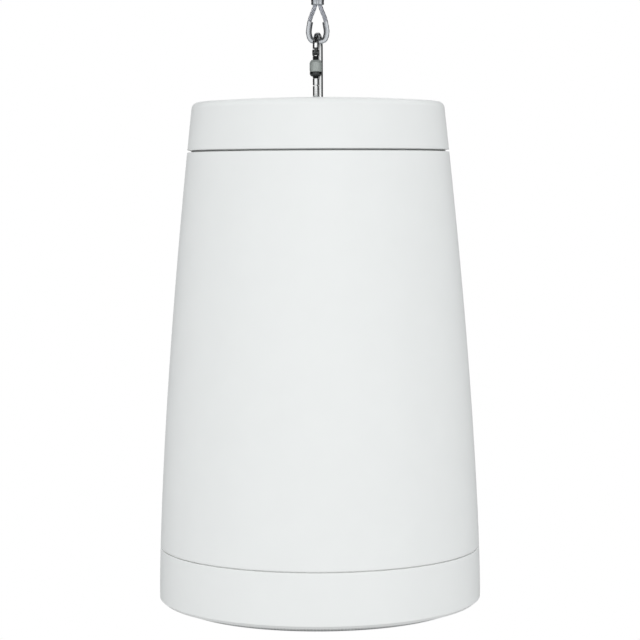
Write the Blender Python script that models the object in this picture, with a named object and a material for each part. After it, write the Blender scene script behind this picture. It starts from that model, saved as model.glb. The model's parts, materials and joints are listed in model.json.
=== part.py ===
"""Compact pendant loudspeaker hung from a wire rope by a screw-lock carabiner.

Metres, +Z up. The origin is the middle of the ceiling fitting's flat top face, and
everything hangs below it. Inside the cabinet, heights are counted up from the rim of
the bezel, which is the cabinet's lowest moulded edge.
"""

import math

import bmesh
import bpy
from mathutils import Matrix, Vector

# Clearances
SEAT = 0.0003
PIN_GAP = 0.0002
SCREW_GAP = 0.0004
SLIDE_GAP = 0.0005

# Ceiling fitting
FITTING_RADIUS = 0.022
FITTING_FLANGE = 0.003
FITTING_HEIGHT = 0.018
FITTING_NOSE_RADIUS = 0.0065
FITTING_BORE_DEPTH = 0.012
FITTING_SCREW_CIRCLE = 0.016
FITTING_SCREW_HOLE = 0.0022
CLAMP_SCREW_RADIUS = 0.0019
CLAMP_SCREW_HEIGHT = 0.0062

# Wire rope, ferrule and thimble
ROPE_RADIUS = 0.0016
ROPE_STEP = 0.003
SUSPENSION_DROP = 0.095
LOOP_HALF_WIDTH = 0.0070
LOOP_SHAPE = ((0.429, 0.864), (0.743, 0.662), (0.929, 0.460), (1.0, 0.221), (0.757, 0.055))
LEG_OFFSET = 0.0018
FERRULE_BOTTOM = 0.0272
FERRULE_LENGTH = 0.012
FERRULE_RADIUS = 0.003
THIMBLE_WALL = 0.0008
THIMBLE_FLANGE = 0.0013
THIMBLE_TIP = 0.0155

# Carabiner
CARABINER_LENGTH = 0.058
CARABINER_SPAN = 0.019
CARABINER_WIRE = 0.0045
CARABINER_TURN = math.radians(9.0)
HINGE_DROP = 0.0135
GATE_RADIUS = 0.0023
GATE_LENGTH = 0.024
NOSE_GAP = 0.0005
TONGUE_THICKNESS = 0.0018
TONGUE_RADIUS = 0.0019
RIVET_RADIUS = 0.0008
SLEEVE_RADIUS = 0.0046
SLEEVE_LENGTH = 0.0120
SLEEVE_DROP = 0.0054
SLEEVE_RIDGES = 12
SLEEVE_RIDGE_DEPTH = 0.00035

# Lifting eye and its fastening
EYE_WIRE = 0.005
EYE_BORE = 0.012
EYE_STANDOFF = 0.0182
EYE_COLLAR_RADIUS = 0.010
EYE_COLLAR_HEIGHT = 0.004
EYE_NECK_RADIUS = 0.0045
EYE_SHANK_RADIUS = 0.004
LOAD_PLATE_RADIUS = 0.024
LOAD_PLATE_THICKNESS = 0.003
WASHER_RADIUS = 0.0085
WASHER_THICKNESS = 0.0016
NUT_RADIUS = 0.0075
NUT_HEIGHT = 0.0065

# Cabinet shells
BASE_RADIUS = 0.120
BODY_TAPER = 0.0229
STRAIGHT_HEIGHT = 0.0081
TAPER_POWER = 1.5
BEZEL_HEIGHT = 0.0406
BEZEL_SEAM = 0.0008
BODY_HEIGHT = 0.2927
TOP_SEAM = 0.0015
CAP_HEIGHT = 0.0353
CAP_WALL = 0.003
CAP_FILLET = 0.0051
CAP_CROWN = 0.0031
CAP_OPENING = 0.017
CAP_LIP_DEPTH = 0.006
NECK_HEIGHT = 0.0109
BODY_WALL = 0.004
PLATE_THICKNESS = 0.004
BODY_FLANGE_WIDTH = 0.020
BODY_FLANGE = 0.004
BEZEL_WALL = 0.003
BEZEL_FILLET = 0.0024
SHELL_SEGMENTS = 32

# Cap posts, cap screws and cable grommet
CAP_SCREW_INSET = 0.0171
CAP_SCREW_ANGLES = (90.0, 210.0, 330.0)
CAP_POST_RADIUS = 0.006
CAP_SCREW_SINK = 0.0045
BOSS_RADIUS = 0.0045
BOSS_DEPTH = 0.010
SCREW_RADIUS = 0.0019
SCREW_HEAD_RADIUS = 0.0037
SCREW_HEAD_HEIGHT = 0.0026
GROMMET_SHARE = 0.625
GROMMET_BORE = 0.0045
GROMMET_NECK = 0.0075
GROMMET_FLANGE = 0.010
GROMMET_LIP = 0.002

# Grille
GRILLE_DEPTH = 0.0037
GRILLE_INSET = 0.012
GRILLE_SHEET = 0.0012
GRILLE_EDGE = 0.003
GRILLE_SKIRT = 0.008
GRILLE_CLEARANCE = 0.0005
HOLE_PITCH = 0.021
HOLE_RADIUS = 0.0074
HOLE_SIDES = 6
HOLE_MARGIN = 0.0025

# Bezel posts, baffle and gasket
LEDGE_WIDTH = 0.003
LEDGE_THICKNESS = 0.003
BEZEL_POST_INSET = 0.014
BEZEL_POST_RADIUS = 0.0055
BEZEL_POST_ANGLES = (45.0, 135.0, 225.0, 315.0)
HEAD_SINK = 0.0035
BAFFLE_INSET = 0.0075
BAFFLE_THICKNESS = 0.005
GASKET_THICKNESS = 0.002
GASKET_WIDTH = 0.012

# Woofer
WOOFER_MARGIN = 0.0015
CUTOUT_INSET = 0.009
WOOFER_FLANGE = 0.0035
WOOFER_SCREW_INSET = 0.0032
WOOFER_RIM = 0.0065
WOOFER_RECESS = 0.0015
BASKET_CLEARANCE = 0.0045
BASKET_WALL = 0.002
BASKET_NECK = 0.0385
SPIDER_HEIGHT = 0.0413
SPIDER_RADIUS = 0.0445
BASKET_HEIGHT = 0.0545
BASKET_BACK = 0.0025
WINDOW_COUNT = 6
WINDOW_WIDTH = 0.032
WINDOW_BOTTOM = 0.012
WINDOW_TOP = 0.035
SURROUND_SPAN = 0.0085
CONE_PAPER = 0.001
CONE_NECK_HEIGHT = 0.036
CONE_TRAVEL = 0.004
SURROUND_RUBBER = 0.001
SURROUND_LIP = 0.004
COIL_RADIUS = 0.0182
COIL_WALL = 0.001
COIL_LENGTH = 0.030
MAGNET_GAP = 0.0006
FRONT_PLATE_RADIUS = 0.045
FRONT_PLATE = 0.0055
MAGNET_RADIUS = 0.046
MAGNET_BORE = 0.024
MAGNET_HEIGHT = 0.015
BACK_PLATE_RADIUS = 0.044
BACK_PLATE = 0.006
POLE_BORE = 0.0046
WOOFER_SEGMENTS = 20

# Tweeter on the woofer's pole
POST_RADIUS = 0.0043
TWEETER_RADIUS = 0.014
TWEETER_TOP = 0.022
HORN_RADIUS = 0.022
HORN_DEPTH = 0.0065
DOME_RADIUS = 0.009
DOME_SEAT = 0.003
DOME_RISE = 0.0045

# Ports
PORT_INSET = 0.0225
PORT_RADIUS = 0.012
PORT_WALL = 0.002
PORT_LENGTH = 0.108
PORT_LIP_RADIUS = 0.014
PORT_LIP = 0.002

# Connection panel under the cap: places are shares of the cap screws' circle
PANEL_SHARE = 0.575
PANEL_WIDTH_SHARE = 0.725
PANEL_DEPTH_SHARE = 0.275
PANEL_THICKNESS = 0.0025
PANEL_CORNER = 0.006
PANEL_SCREW_CORNERS = ((-1, 1), (-1, -1))
TERMINAL_SHARE = 0.25
TERMINAL_WIDTH = 0.026
TERMINAL_DEPTH = 0.020
TERMINAL_HEIGHT = 0.014
TERMINAL_PITCH = 0.012
TERMINAL_SCREW_RADIUS = 0.0028
TERMINAL_SCREW_HEIGHT = 0.003
TERMINAL_SINK = 0.005
TAP_BODY_RADIUS = 0.010
TAP_BODY_HEIGHT = 0.012
TAP_BUSH_RADIUS = 0.0042
TAP_BUSH_HEIGHT = 0.006
TAP_SHAFT_RADIUS = 0.0028
TAP_KNOB_RADIUS = 0.009
TAP_KNOB_HEIGHT = 0.013

# Line transformer
CORE_WIDTH_SHARE = 0.7125
CORE_DEPTH_SHARE = 0.25
CORE_HEIGHT = 0.048
COIL_OVERHANG = 0.007
COIL_GAP = 0.0004
WINDOW_MARGIN_X = 0.002
WINDOW_MARGIN_Y = 0.0015

# Crossover
BOARD_WIDTH_SHARE = 0.875
BOARD_DEPTH_SHARE = 0.55
BOARD_THICKNESS = 0.0016
BOARD_DROP = 0.010
STAKE_INSET = 0.006
STAKE_RADIUS = 0.0015
STAKE_POST_RADIUS = 0.0035
INDUCTOR_BORE = 0.006
INDUCTOR_HEIGHT = 0.016
CAPACITOR_HEIGHT = 0.024
CAPACITOR_INSET = 0.011

# Wadding
WADDING_GAP = 0.0016
WADDING_THICKNESS = 0.009
WADDING_RISE = 0.0096
WADDING_DROP = 0.04445

# Radii and places that follow the cabinet's own size
SEAM_RADIUS = BASE_RADIUS - BODY_TAPER
BODY_FLANGE_RADIUS = BASE_RADIUS - BODY_FLANGE_WIDTH
GRILLE_RADIUS = BASE_RADIUS - GRILLE_INSET
BEZEL_POST_CIRCLE = BASE_RADIUS - BEZEL_POST_INSET
BAFFLE_RADIUS = BASE_RADIUS - BAFFLE_INSET
GASKET_INNER = BAFFLE_RADIUS - GASKET_WIDTH
PORT_CIRCLE = BASE_RADIUS - PORT_INSET
WOOFER_FLANGE_RADIUS = PORT_CIRCLE - PORT_LIP_RADIUS - WOOFER_MARGIN
WOOFER_SCREW_CIRCLE = WOOFER_FLANGE_RADIUS - WOOFER_SCREW_INSET
WOOFER_RECESS_RADIUS = WOOFER_FLANGE_RADIUS - WOOFER_RIM
CUTOUT_RADIUS = WOOFER_FLANGE_RADIUS - CUTOUT_INSET
BASKET_MOUTH = CUTOUT_RADIUS - BASKET_CLEARANCE
CONE_RIM = BASKET_MOUTH - SURROUND_SPAN
CAP_SCREW_CIRCLE = SEAM_RADIUS - CAP_SCREW_INSET
GROMMET_Y = CAP_SCREW_CIRCLE * GROMMET_SHARE
PANEL_Y = -CAP_SCREW_CIRCLE * PANEL_SHARE
PANEL_HALF_WIDTH = CAP_SCREW_CIRCLE * PANEL_WIDTH_SHARE
PANEL_HALF_DEPTH = CAP_SCREW_CIRCLE * PANEL_DEPTH_SHARE
TERMINAL_X = -CAP_SCREW_CIRCLE * TERMINAL_SHARE
TAP_X = CAP_SCREW_CIRCLE * PANEL_SHARE
CORE_WIDTH = CAP_SCREW_CIRCLE * CORE_WIDTH_SHARE
CORE_DEPTH = CAP_SCREW_CIRCLE * CORE_DEPTH_SHARE
CORE_LEG = CORE_WIDTH / 6
OPENING_HALF_WIDTH = CORE_WIDTH / 2 + WINDOW_MARGIN_X
OPENING_HALF_DEPTH = CORE_DEPTH / 2 + COIL_OVERHANG + WINDOW_MARGIN_Y
BOARD_Y = CAP_SCREW_CIRCLE * PANEL_SHARE
BOARD_WIDTH = CAP_SCREW_CIRCLE * BOARD_WIDTH_SHARE
BOARD_DEPTH = CAP_SCREW_CIRCLE * BOARD_DEPTH_SHARE
STAKE_X = BOARD_WIDTH / 2 - STAKE_INSET
CAPACITOR_X = BOARD_WIDTH / 2 - CAPACITOR_INSET
CAPACITOR_RADIUS = BOARD_WIDTH / 10
INDUCTOR_RADIUS = BOARD_WIDTH * 3 / 14

# Levels, from the ceiling down
BIGHT_Z = -SUSPENSION_DROP
THIMBLE_RADIUS = ROPE_RADIUS + SEAT + THIMBLE_WALL
WIRE_RADIUS = CARABINER_WIRE / 2
TOP_BOW_Z = BIGHT_Z + THIMBLE_RADIUS + SEAT + WIRE_RADIUS
LOW_BOW_Z = TOP_BOW_Z - (CARABINER_LENGTH - CARABINER_WIRE)
BOW_RADIUS = CARABINER_SPAN / 2
HINGE_Z = TOP_BOW_Z - HINGE_DROP
EYE_WIRE_RADIUS = EYE_WIRE / 2
EYE_RING_RADIUS = (EYE_BORE + EYE_WIRE) / 2
EYE_Z = LOW_BOW_Z + WIRE_RADIUS + SEAT + EYE_WIRE_RADIUS - EYE_RING_RADIUS
PLATE_Z = EYE_Z - EYE_STANDOFF - SEAT

# Heights above the bezel's rim
BODY_BOTTOM = BEZEL_HEIGHT + BEZEL_SEAM
SHOULDER = BODY_BOTTOM + BODY_HEIGHT
PLATE_TOP = SHOULDER + NECK_HEIGHT
PLATE_UNDER = PLATE_TOP - PLATE_THICKNESS
CAP_BOTTOM = SHOULDER + TOP_SEAM
CAP_RIM = CAP_BOTTOM + CAP_HEIGHT
PANEL_TOP = PLATE_TOP + SEAT + PANEL_THICKNESS
LEDGE_UNDER = GRILLE_SKIRT + SEAT
BAFFLE_BACK = BODY_BOTTOM - SEAT - GASKET_THICKNESS - SEAT
BAFFLE_FRONT = BAFFLE_BACK - BAFFLE_THICKNESS
WADDING_BOTTOM = BAFFLE_FRONT + PORT_LENGTH + WADDING_RISE - SEAT
WADDING_TOP = SHOULDER - WADDING_DROP
RIM_Z = PLATE_Z - PLATE_TOP

WHITE_SHELL = (0.86, 0.86, 0.85)
WHITE_METAL = (0.83, 0.83, 0.82)
STEEL = (0.62, 0.62, 0.61)
ZINC = (0.66, 0.68, 0.70)
DARK_STEEL = (0.20, 0.20, 0.21)
BLACK = (0.03, 0.03, 0.03)
RUBBER = (0.05, 0.05, 0.05)
PAPER = (0.11, 0.11, 0.12)
COPPER = (0.55, 0.27, 0.14)
BOARD_GREEN = (0.05, 0.22, 0.12)
AMBER = (0.42, 0.25, 0.10)
ALUMINIUM = (0.75, 0.75, 0.76)
WADDING = (0.80, 0.80, 0.78)


# Materials and objects


def surface(name, colour, roughness, metallic=0.0):
    """A Principled material with one colour."""
    made = bpy.data.materials.new(name)
    made.use_nodes = True
    shader = made.node_tree.nodes["Principled BSDF"]
    shader.inputs["Base Color"].default_value = (*colour, 1.0)
    shader.inputs["Roughness"].default_value = roughness
    shader.inputs["Metallic"].default_value = metallic
    return made


def finish(name, bm, material, parent=None, at=(0, 0, 0)):
    """Turns a bmesh into a named, smooth-shaded object under its parent."""
    bmesh.ops.recalc_face_normals(bm, faces=bm.faces)
    mesh = bpy.data.meshes.new(name)
    bm.to_mesh(mesh)
    bm.free()
    mesh.shade_smooth()
    mesh.set_sharp_from_angle(angle=math.radians(35))
    obj = bpy.data.objects.new(name, mesh)
    bpy.context.scene.collection.objects.link(obj)
    if material:
        mesh.materials.append(material)
    obj.parent = parent
    obj.location = at
    return obj


def pivot(name, at, parent=None, turn=0.0):
    """An empty on a joint's axis, which carries the pieces that move with it."""
    empty = bpy.data.objects.new(name, None)
    bpy.context.scene.collection.objects.link(empty)
    empty.parent = parent
    empty.location = at
    empty.rotation_euler = (0, 0, turn)
    return empty


def combine(body, tool, operation):
    """A Boolean of the body with a hidden helper that sits in the same frame."""
    tool.hide_render = True
    tool.display_type = "WIRE"
    tool.parent = body.parent
    modifier = body.modifiers.new(tool.name, "BOOLEAN")
    modifier.operation = operation
    modifier.solver = "EXACT"
    modifier.object = tool
    return body


def cut(body, *tools):
    for tool in tools:
        combine(body, tool, "DIFFERENCE")
    return body


def weld(body, *tools):
    for tool in tools:
        combine(body, tool, "UNION")
    return body


# Shapes


def arc(centre_r, centre_h, radius, start, end, steps):
    """Points along an arc, its angles in degrees from the +r direction."""
    points = []
    for i in range(steps + 1):
        angle = math.radians(start + (end - start) * i / steps)
        points.append((centre_r + radius * math.cos(angle), centre_h + radius * math.sin(angle)))
    return points


def turned(outline, segments, closed=True):
    """A solid of revolution about Z. An open outline is closed by a flat face at each end."""
    bm = bmesh.new()
    verts = [bm.verts.new((r, 0, h)) for r, h in outline]
    pairs = list(zip(verts, verts[1:]))
    if closed:
        pairs.append((verts[-1], verts[0]))
    edges = [bm.edges.new(pair) for pair in pairs]
    bmesh.ops.spin(
        bm, geom=verts + edges, axis=(0, 0, 1), cent=(0, 0, 0), angle=math.tau, steps=segments, use_merge=True
    )
    bmesh.ops.remove_doubles(bm, verts=bm.verts, dist=1e-6)
    open_edges = [edge for edge in bm.edges if edge.is_boundary]
    if open_edges:
        bmesh.ops.holes_fill(bm, edges=open_edges, sides=0)
    return bm


def rod(radius, bottom, top, segments=16, radius_top=None):
    """A plain or tapered round bar along Z."""
    upper = radius if radius_top is None else radius_top
    return turned([(radius, bottom), (upper, top)], segments, closed=False)


def prism(outline, bottom, top):
    """A flat outline pushed up along Z."""
    bm = bmesh.new()
    face = bm.faces.new([bm.verts.new((x, y, bottom)) for x, y in outline])
    grown = bmesh.ops.extrude_face_region(bm, geom=[face])
    raised = [item for item in grown["geom"] if isinstance(item, bmesh.types.BMVert)]
    bmesh.ops.translate(bm, verts=raised, vec=(0, 0, top - bottom))
    return bm


def rounded_rectangle(half_x, half_y, radius, steps=3):
    corners = ((1, 1, 0), (-1, 1, 90), (-1, -1, 180), (1, -1, 270))
    points = []
    for sign_x, sign_y, start in corners:
        centre_x = sign_x * (half_x - radius)
        centre_y = sign_y * (half_y - radius)
        points += arc(centre_x, centre_y, radius, start, start + 90, steps)
    return points


def stadium(half_length, radius, steps=6):
    return arc(half_length, 0, radius, -90, 90, steps) + arc(-half_length, 0, radius, 90, 270, steps)


def polygon(radius, sides, turn=0.0):
    step = math.tau / sides
    return [(radius * math.cos(turn + i * step), radius * math.sin(turn + i * step)) for i in range(sides)]


def box(half_x, half_y, bottom, top):
    return prism([(half_x, -half_y), (half_x, half_y), (-half_x, half_y), (-half_x, -half_y)], bottom, top)


def tipped(bm, axis, degrees, about=(0, 0, 0)):
    """The same shape turned about an axis through a point."""
    bmesh.ops.rotate(bm, cent=about, matrix=Matrix.Rotation(math.radians(degrees), 3, axis), verts=bm.verts)
    return bm


def swept(path, section, across, looped=False):
    """A section carried along a flat path. Its first coordinate points across the path's plane,
    its second away from the path's left side."""
    across = Vector(across)
    bm = bmesh.new()
    rings = []
    last = len(path) - 1
    for i, point in enumerate(path):
        before = path[i - 1] if i or looped else point
        after = path[(i + 1) % len(path)] if i < last or looped else point
        tangent = (Vector(after) - Vector(before)).normalized()
        side = tangent.cross(across)
        rings.append([bm.verts.new(Vector(point) + across * a + side * b) for a, b in section])
    pairs = list(zip(rings, rings[1:]))
    if looped:
        pairs.append((rings[-1], rings[0]))
    count = len(section)
    for ring, following in pairs:
        for j in range(count):
            k = (j + 1) % count
            bm.faces.new((ring[j], ring[k], following[k], following[j]))
    if not looped:
        bm.faces.new(rings[0])
        bm.faces.new(rings[-1])
    return bm


def around(circle, degrees):
    angle = math.radians(degrees)
    return circle * math.cos(angle), circle * math.sin(angle)


def smooth_curve(route, step):
    """Points at an even spacing on a smooth curve through the route's own points."""
    points = [Vector(p) for p in route]
    spans = [(b - a).length for a, b in zip(points, points[1:])]
    slopes = [(points[1] - points[0]) / spans[0]]
    for i in range(1, len(points) - 1):
        before = (points[i] - points[i - 1]) / spans[i - 1]
        after = (points[i + 1] - points[i]) / spans[i]
        slopes.append((before * spans[i] + after * spans[i - 1]) / (spans[i - 1] + spans[i]))
    slopes.append((points[-1] - points[-2]) / spans[-1])
    fine = []
    parts = 24
    for i, span in enumerate(spans):
        for j in range(parts):
            t = j / parts
            fine.append(
                points[i] * (2 * t**3 - 3 * t**2 + 1)
                + slopes[i] * span * (t**3 - 2 * t**2 + t)
                + points[i + 1] * (3 * t**2 - 2 * t**3)
                + slopes[i + 1] * span * (t**3 - t**2)
            )
    fine.append(points[-1])
    lengths = [0.0]
    for a, b in zip(fine, fine[1:]):
        lengths.append(lengths[-1] + (b - a).length)
    count = max(2, round(lengths[-1] / step))
    even = []
    place = 0
    for i in range(count + 1):
        goal = lengths[-1] * i / count
        while place < len(fine) - 2 and lengths[place + 1] < goal:
            place += 1
        share = (goal - lengths[place]) / (lengths[place + 1] - lengths[place])
        even.append(fine[place].lerp(fine[place + 1], share))
    return even


# Outer form of the cabinet


def outer_radius(height):
    """The cabinet's outer radius: straight at the rim, then drawing in more and more."""
    if height <= STRAIGHT_HEIGHT:
        return BASE_RADIUS
    share = (height - STRAIGHT_HEIGHT) / (SHOULDER - STRAIGHT_HEIGHT)
    return BASE_RADIUS - (BASE_RADIUS - SEAM_RADIUS) * share**TAPER_POWER


def crown_edge():
    return outer_radius(CAP_RIM - CAP_FILLET) - CAP_FILLET


def crown_height(radius):
    """The crown rises a little from its edge towards the middle."""
    return CAP_RIM + CAP_CROWN * (1 - (radius / crown_edge()) ** 2)


def levels(bottom, top, steps):
    return [bottom + (top - bottom) * i / steps for i in range(steps + 1)]


# Rope, ferrule, thimble and ceiling fitting


def rope_route():
    """Down from the fitting, through the ferrule, round the thimble and back up into the ferrule."""
    ferrule_foot = BIGHT_Z + FERRULE_BOTTOM
    ferrule_top = ferrule_foot + FERRULE_LENGTH
    inside_fitting = FITTING_BORE_DEPTH - FITTING_HEIGHT - SEAT
    left = [(-LOOP_HALF_WIDTH * x, 0.0, BIGHT_Z + FERRULE_BOTTOM * z) for x, z in LOOP_SHAPE]
    right = [(-x, y, z) for x, y, z in reversed(left)]
    fall = [
        (0.0, 0.0, inside_fitting),
        (0.0, 0.0, (inside_fitting - FITTING_HEIGHT) / 2),
        (0.0, 0.0, -FITTING_HEIGHT - ROPE_RADIUS * 5),
        (-LEG_OFFSET * 0.4, 0.0, ferrule_top + ROPE_RADIUS * 6.25),
        (-LEG_OFFSET, 0.0, ferrule_top),
        (-LEG_OFFSET, 0.0, ferrule_foot),
    ]
    rise = [(LEG_OFFSET, 0.0, ferrule_foot), (LEG_OFFSET, 0.0, ferrule_top - 0.001)]
    return fall + left + [(0.0, 0.0, BIGHT_Z)] + right + rise


def make_rope(material):
    points = smooth_curve(rope_route(), ROPE_STEP)
    curve = bpy.data.curves.new("suspension_rope", "CURVE")
    curve.dimensions = "3D"
    spline = curve.splines.new("POLY")
    spline.points.add(len(points) - 1)
    for place, point in zip(spline.points, points):
        place.co = (*point, 1)
    curve.bevel_depth = ROPE_RADIUS
    curve.bevel_resolution = 2
    curve.use_fill_caps = True
    curve.materials.append(material)
    rope = bpy.data.objects.new("suspension_rope", curve)
    bpy.context.scene.collection.objects.link(rope)
    return rope


def make_ceiling_fitting(material, screw_material):
    """A turned rose with a nose: the rope's end sits in its blind bore under a grub screw."""
    cone_top = FITTING_RADIUS / 2
    outline = [
        (FITTING_RADIUS, 0),
        (FITTING_RADIUS, -FITTING_FLANGE),
        (cone_top, -FITTING_FLANGE),
        (FITTING_NOSE_RADIUS, -FITTING_FLANGE * 2),
        (FITTING_NOSE_RADIUS, 0.001 - FITTING_HEIGHT),
        (FITTING_NOSE_RADIUS - 0.001, -FITTING_HEIGHT),
    ]
    fitting = finish("ceiling_fitting", turned(outline, 24, closed=False), material)
    bore = rod(ROPE_RADIUS + SEAT, -FITTING_HEIGHT - 0.001, FITTING_BORE_DEPTH - FITTING_HEIGHT, 12)
    cut(fitting, finish("fitting_bore", bore, None))
    for side in (-1, 1):
        hole = turned(
            [
                (FITTING_SCREW_HOLE, 0.001),
                (FITTING_SCREW_HOLE, -FITTING_FLANGE + 0.0012),
                (FITTING_SCREW_HOLE * 2, -FITTING_FLANGE - 0.001),
            ],
            12,
            closed=False,
        )
        name = "fitting_hole_left" if side < 0 else "fitting_hole_right"
        cut(fitting, finish(name, hole, None, at=(side * FITTING_SCREW_CIRCLE, 0, 0)))
    height = CLAMP_SCREW_HEIGHT - FITTING_HEIGHT
    tapped = tipped(rod(CLAMP_SCREW_RADIUS + PIN_GAP, 0, FITTING_NOSE_RADIUS + 0.001, 12), "X", -90)
    cut(fitting, finish("clamp_hole", tapped, None, at=(0, 0, height)))
    inner = ROPE_RADIUS + SEAT
    outer = FITTING_NOSE_RADIUS - SEAT
    grub = finish("clamp_screw", tipped(rod(CLAMP_SCREW_RADIUS, inner, outer, 12), "X", -90), screw_material)
    grub.location = (0, 0, height)
    socket = tipped(prism(polygon(0.001, 6), outer - 0.0018, outer + 0.001), "X", -90)
    cut(grub, finish("clamp_socket", socket, None, at=(0, 0, height)))


def make_ferrule(material):
    """A pressed oval sleeve round both legs of the rope."""
    bottom = BIGHT_Z + FERRULE_BOTTOM
    top = bottom + FERRULE_LENGTH
    ferrule = finish("ferrule", prism(stadium(LEG_OFFSET, FERRULE_RADIUS), bottom, top), material)
    ferrule.modifiers.new("Rounded ends", "BEVEL").width = 0.0006
    ferrule.modifiers["Rounded ends"].segments = 2
    ferrule.modifiers["Rounded ends"].angle_limit = math.radians(60)
    hole = prism(stadium(LEG_OFFSET, ROPE_RADIUS + SEAT), bottom - 0.001, top + 0.001)
    cut(ferrule, finish("ferrule_hole", hole, None))


def thimble_section():
    """A gutter that opens away from the loop and holds the rope, as (across, outward) points."""
    inner = THIMBLE_RADIUS - THIMBLE_WALL
    outside = arc(0, 0, THIMBLE_RADIUS, 180, 360, 6)
    inside = arc(0, 0, inner, 360, 180, 6)
    return (
        [(-THIMBLE_RADIUS, THIMBLE_FLANGE)]
        + outside
        + [(THIMBLE_RADIUS, THIMBLE_FLANGE), (inner, THIMBLE_FLANGE)]
        + inside
        + [(-inner, THIMBLE_FLANGE)]
    )


def make_thimble(material):
    """The gutter follows the rope's own curve, from one tip round the bight to the other."""
    path = [p for p in smooth_curve(rope_route(), ROPE_STEP) if p.z < BIGHT_Z + THIMBLE_TIP]
    finish("thimble", swept(path, thimble_section(), (0, -1, 0)), material)


# Carabiner


def carabiner_path():
    """The wire's middle line in the carabiner's own plane, from the hinge round to the nose."""
    top_centre = TOP_BOW_Z - BOW_RADIUS - BIGHT_Z
    low_centre = LOW_BOW_Z + BOW_RADIUS - BIGHT_Z
    start = HINGE_Z - BIGHT_Z + GATE_RADIUS + SLIDE_GAP
    nose = HINGE_Z - BIGHT_Z - GATE_LENGTH - NOSE_GAP
    flat = [(-BOW_RADIUS, start)]
    flat += arc(0, top_centre, BOW_RADIUS, 180, 0, 12)
    flat += arc(0, low_centre, BOW_RADIUS, 0, -180, 12)
    flat.append((-BOW_RADIUS, nose))
    return [(0, y, z) for y, z in flat]


def make_carabiner(steel, rivet_steel, sleeve_steel):
    """Frame, hinged gate, rivet and the lock sleeve, in a frame on the thimble's bight."""
    hanger = pivot("carabiner_pivot", (0, 0, BIGHT_Z), turn=-CARABINER_TURN)
    hinge = (0, -BOW_RADIUS, HINGE_Z - BIGHT_Z)
    wire = swept(carabiner_path(), polygon(WIRE_RADIUS, 8), (1, 0, 0))
    frame = finish("carabiner_frame", wire, steel, hanger)
    tongue = prism(
        arc(0, 0, TONGUE_RADIUS, 180, 360, 8) + [(TONGUE_RADIUS, 0.006), (-TONGUE_RADIUS, 0.006)],
        -TONGUE_THICKNESS / 2,
        TONGUE_THICKNESS / 2,
    )
    tipped(tipped(tongue, "X", 90), "Z", 90)
    weld(frame, finish("hinge_tongue", tongue, None, at=hinge))
    pin_hole = tipped(rod(RIVET_RADIUS + PIN_GAP, -0.004, 0.004, 12), "Y", 90)
    cut(frame, finish("frame_pin_hole", pin_hole, None, at=hinge))
    rivet = tipped(rod(RIVET_RADIUS, -GATE_RADIUS + SEAT, GATE_RADIUS - SEAT, 12), "Y", 90)
    finish("gate_rivet", rivet, rivet_steel, hanger, hinge)
    make_gate(hanger, hinge, steel, sleeve_steel)


def make_gate(hanger, hinge, steel, sleeve_steel):
    """A round bar, slotted over the frame's tongue and rounded about the rivet."""
    gate = finish("carabiner_gate", rod(GATE_RADIUS, -GATE_LENGTH, 0, 14), steel, hanger, hinge)
    head = tipped(rod(GATE_RADIUS, -GATE_RADIUS, GATE_RADIUS, 14), "Y", 90)
    weld(gate, finish("gate_head", head, None, at=hinge))
    half_slot = TONGUE_THICKNESS / 2 + SEAT
    slot = box(half_slot, 0.004, -TONGUE_RADIUS - SLIDE_GAP, 0.004)
    cut(gate, finish("gate_slot", slot, None, at=hinge))
    pin_hole = tipped(rod(RIVET_RADIUS + PIN_GAP, -0.004, 0.004, 12), "Y", 90)
    cut(gate, finish("gate_pin_hole", pin_hole, None, at=hinge))
    top = -SLEEVE_DROP
    bottom = top - SLEEVE_LENGTH
    bore = GATE_RADIUS + SEAT
    profile = [
        (bore, top),
        (bore, bottom),
        (SLEEVE_RADIUS - 0.0014, bottom),
        (SLEEVE_RADIUS, bottom + 0.0020),
        (SLEEVE_RADIUS, top - 0.0016),
        (SLEEVE_RADIUS - 0.0013, top),
    ]
    ridged = turned(profile, SLEEVE_RIDGES * 2)
    for vert in ridged.verts:
        turn = round(math.atan2(vert.co.y, vert.co.x) / math.tau * SLEEVE_RIDGES * 2)
        if turn % 2 and vert.co.xy.length > SLEEVE_RADIUS - 0.0001:
            vert.co.xy *= 1 - SLEEVE_RIDGE_DEPTH / SLEEVE_RADIUS
    finish("lock_sleeve", ridged, sleeve_steel, gate)


# Lifting eye


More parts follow.
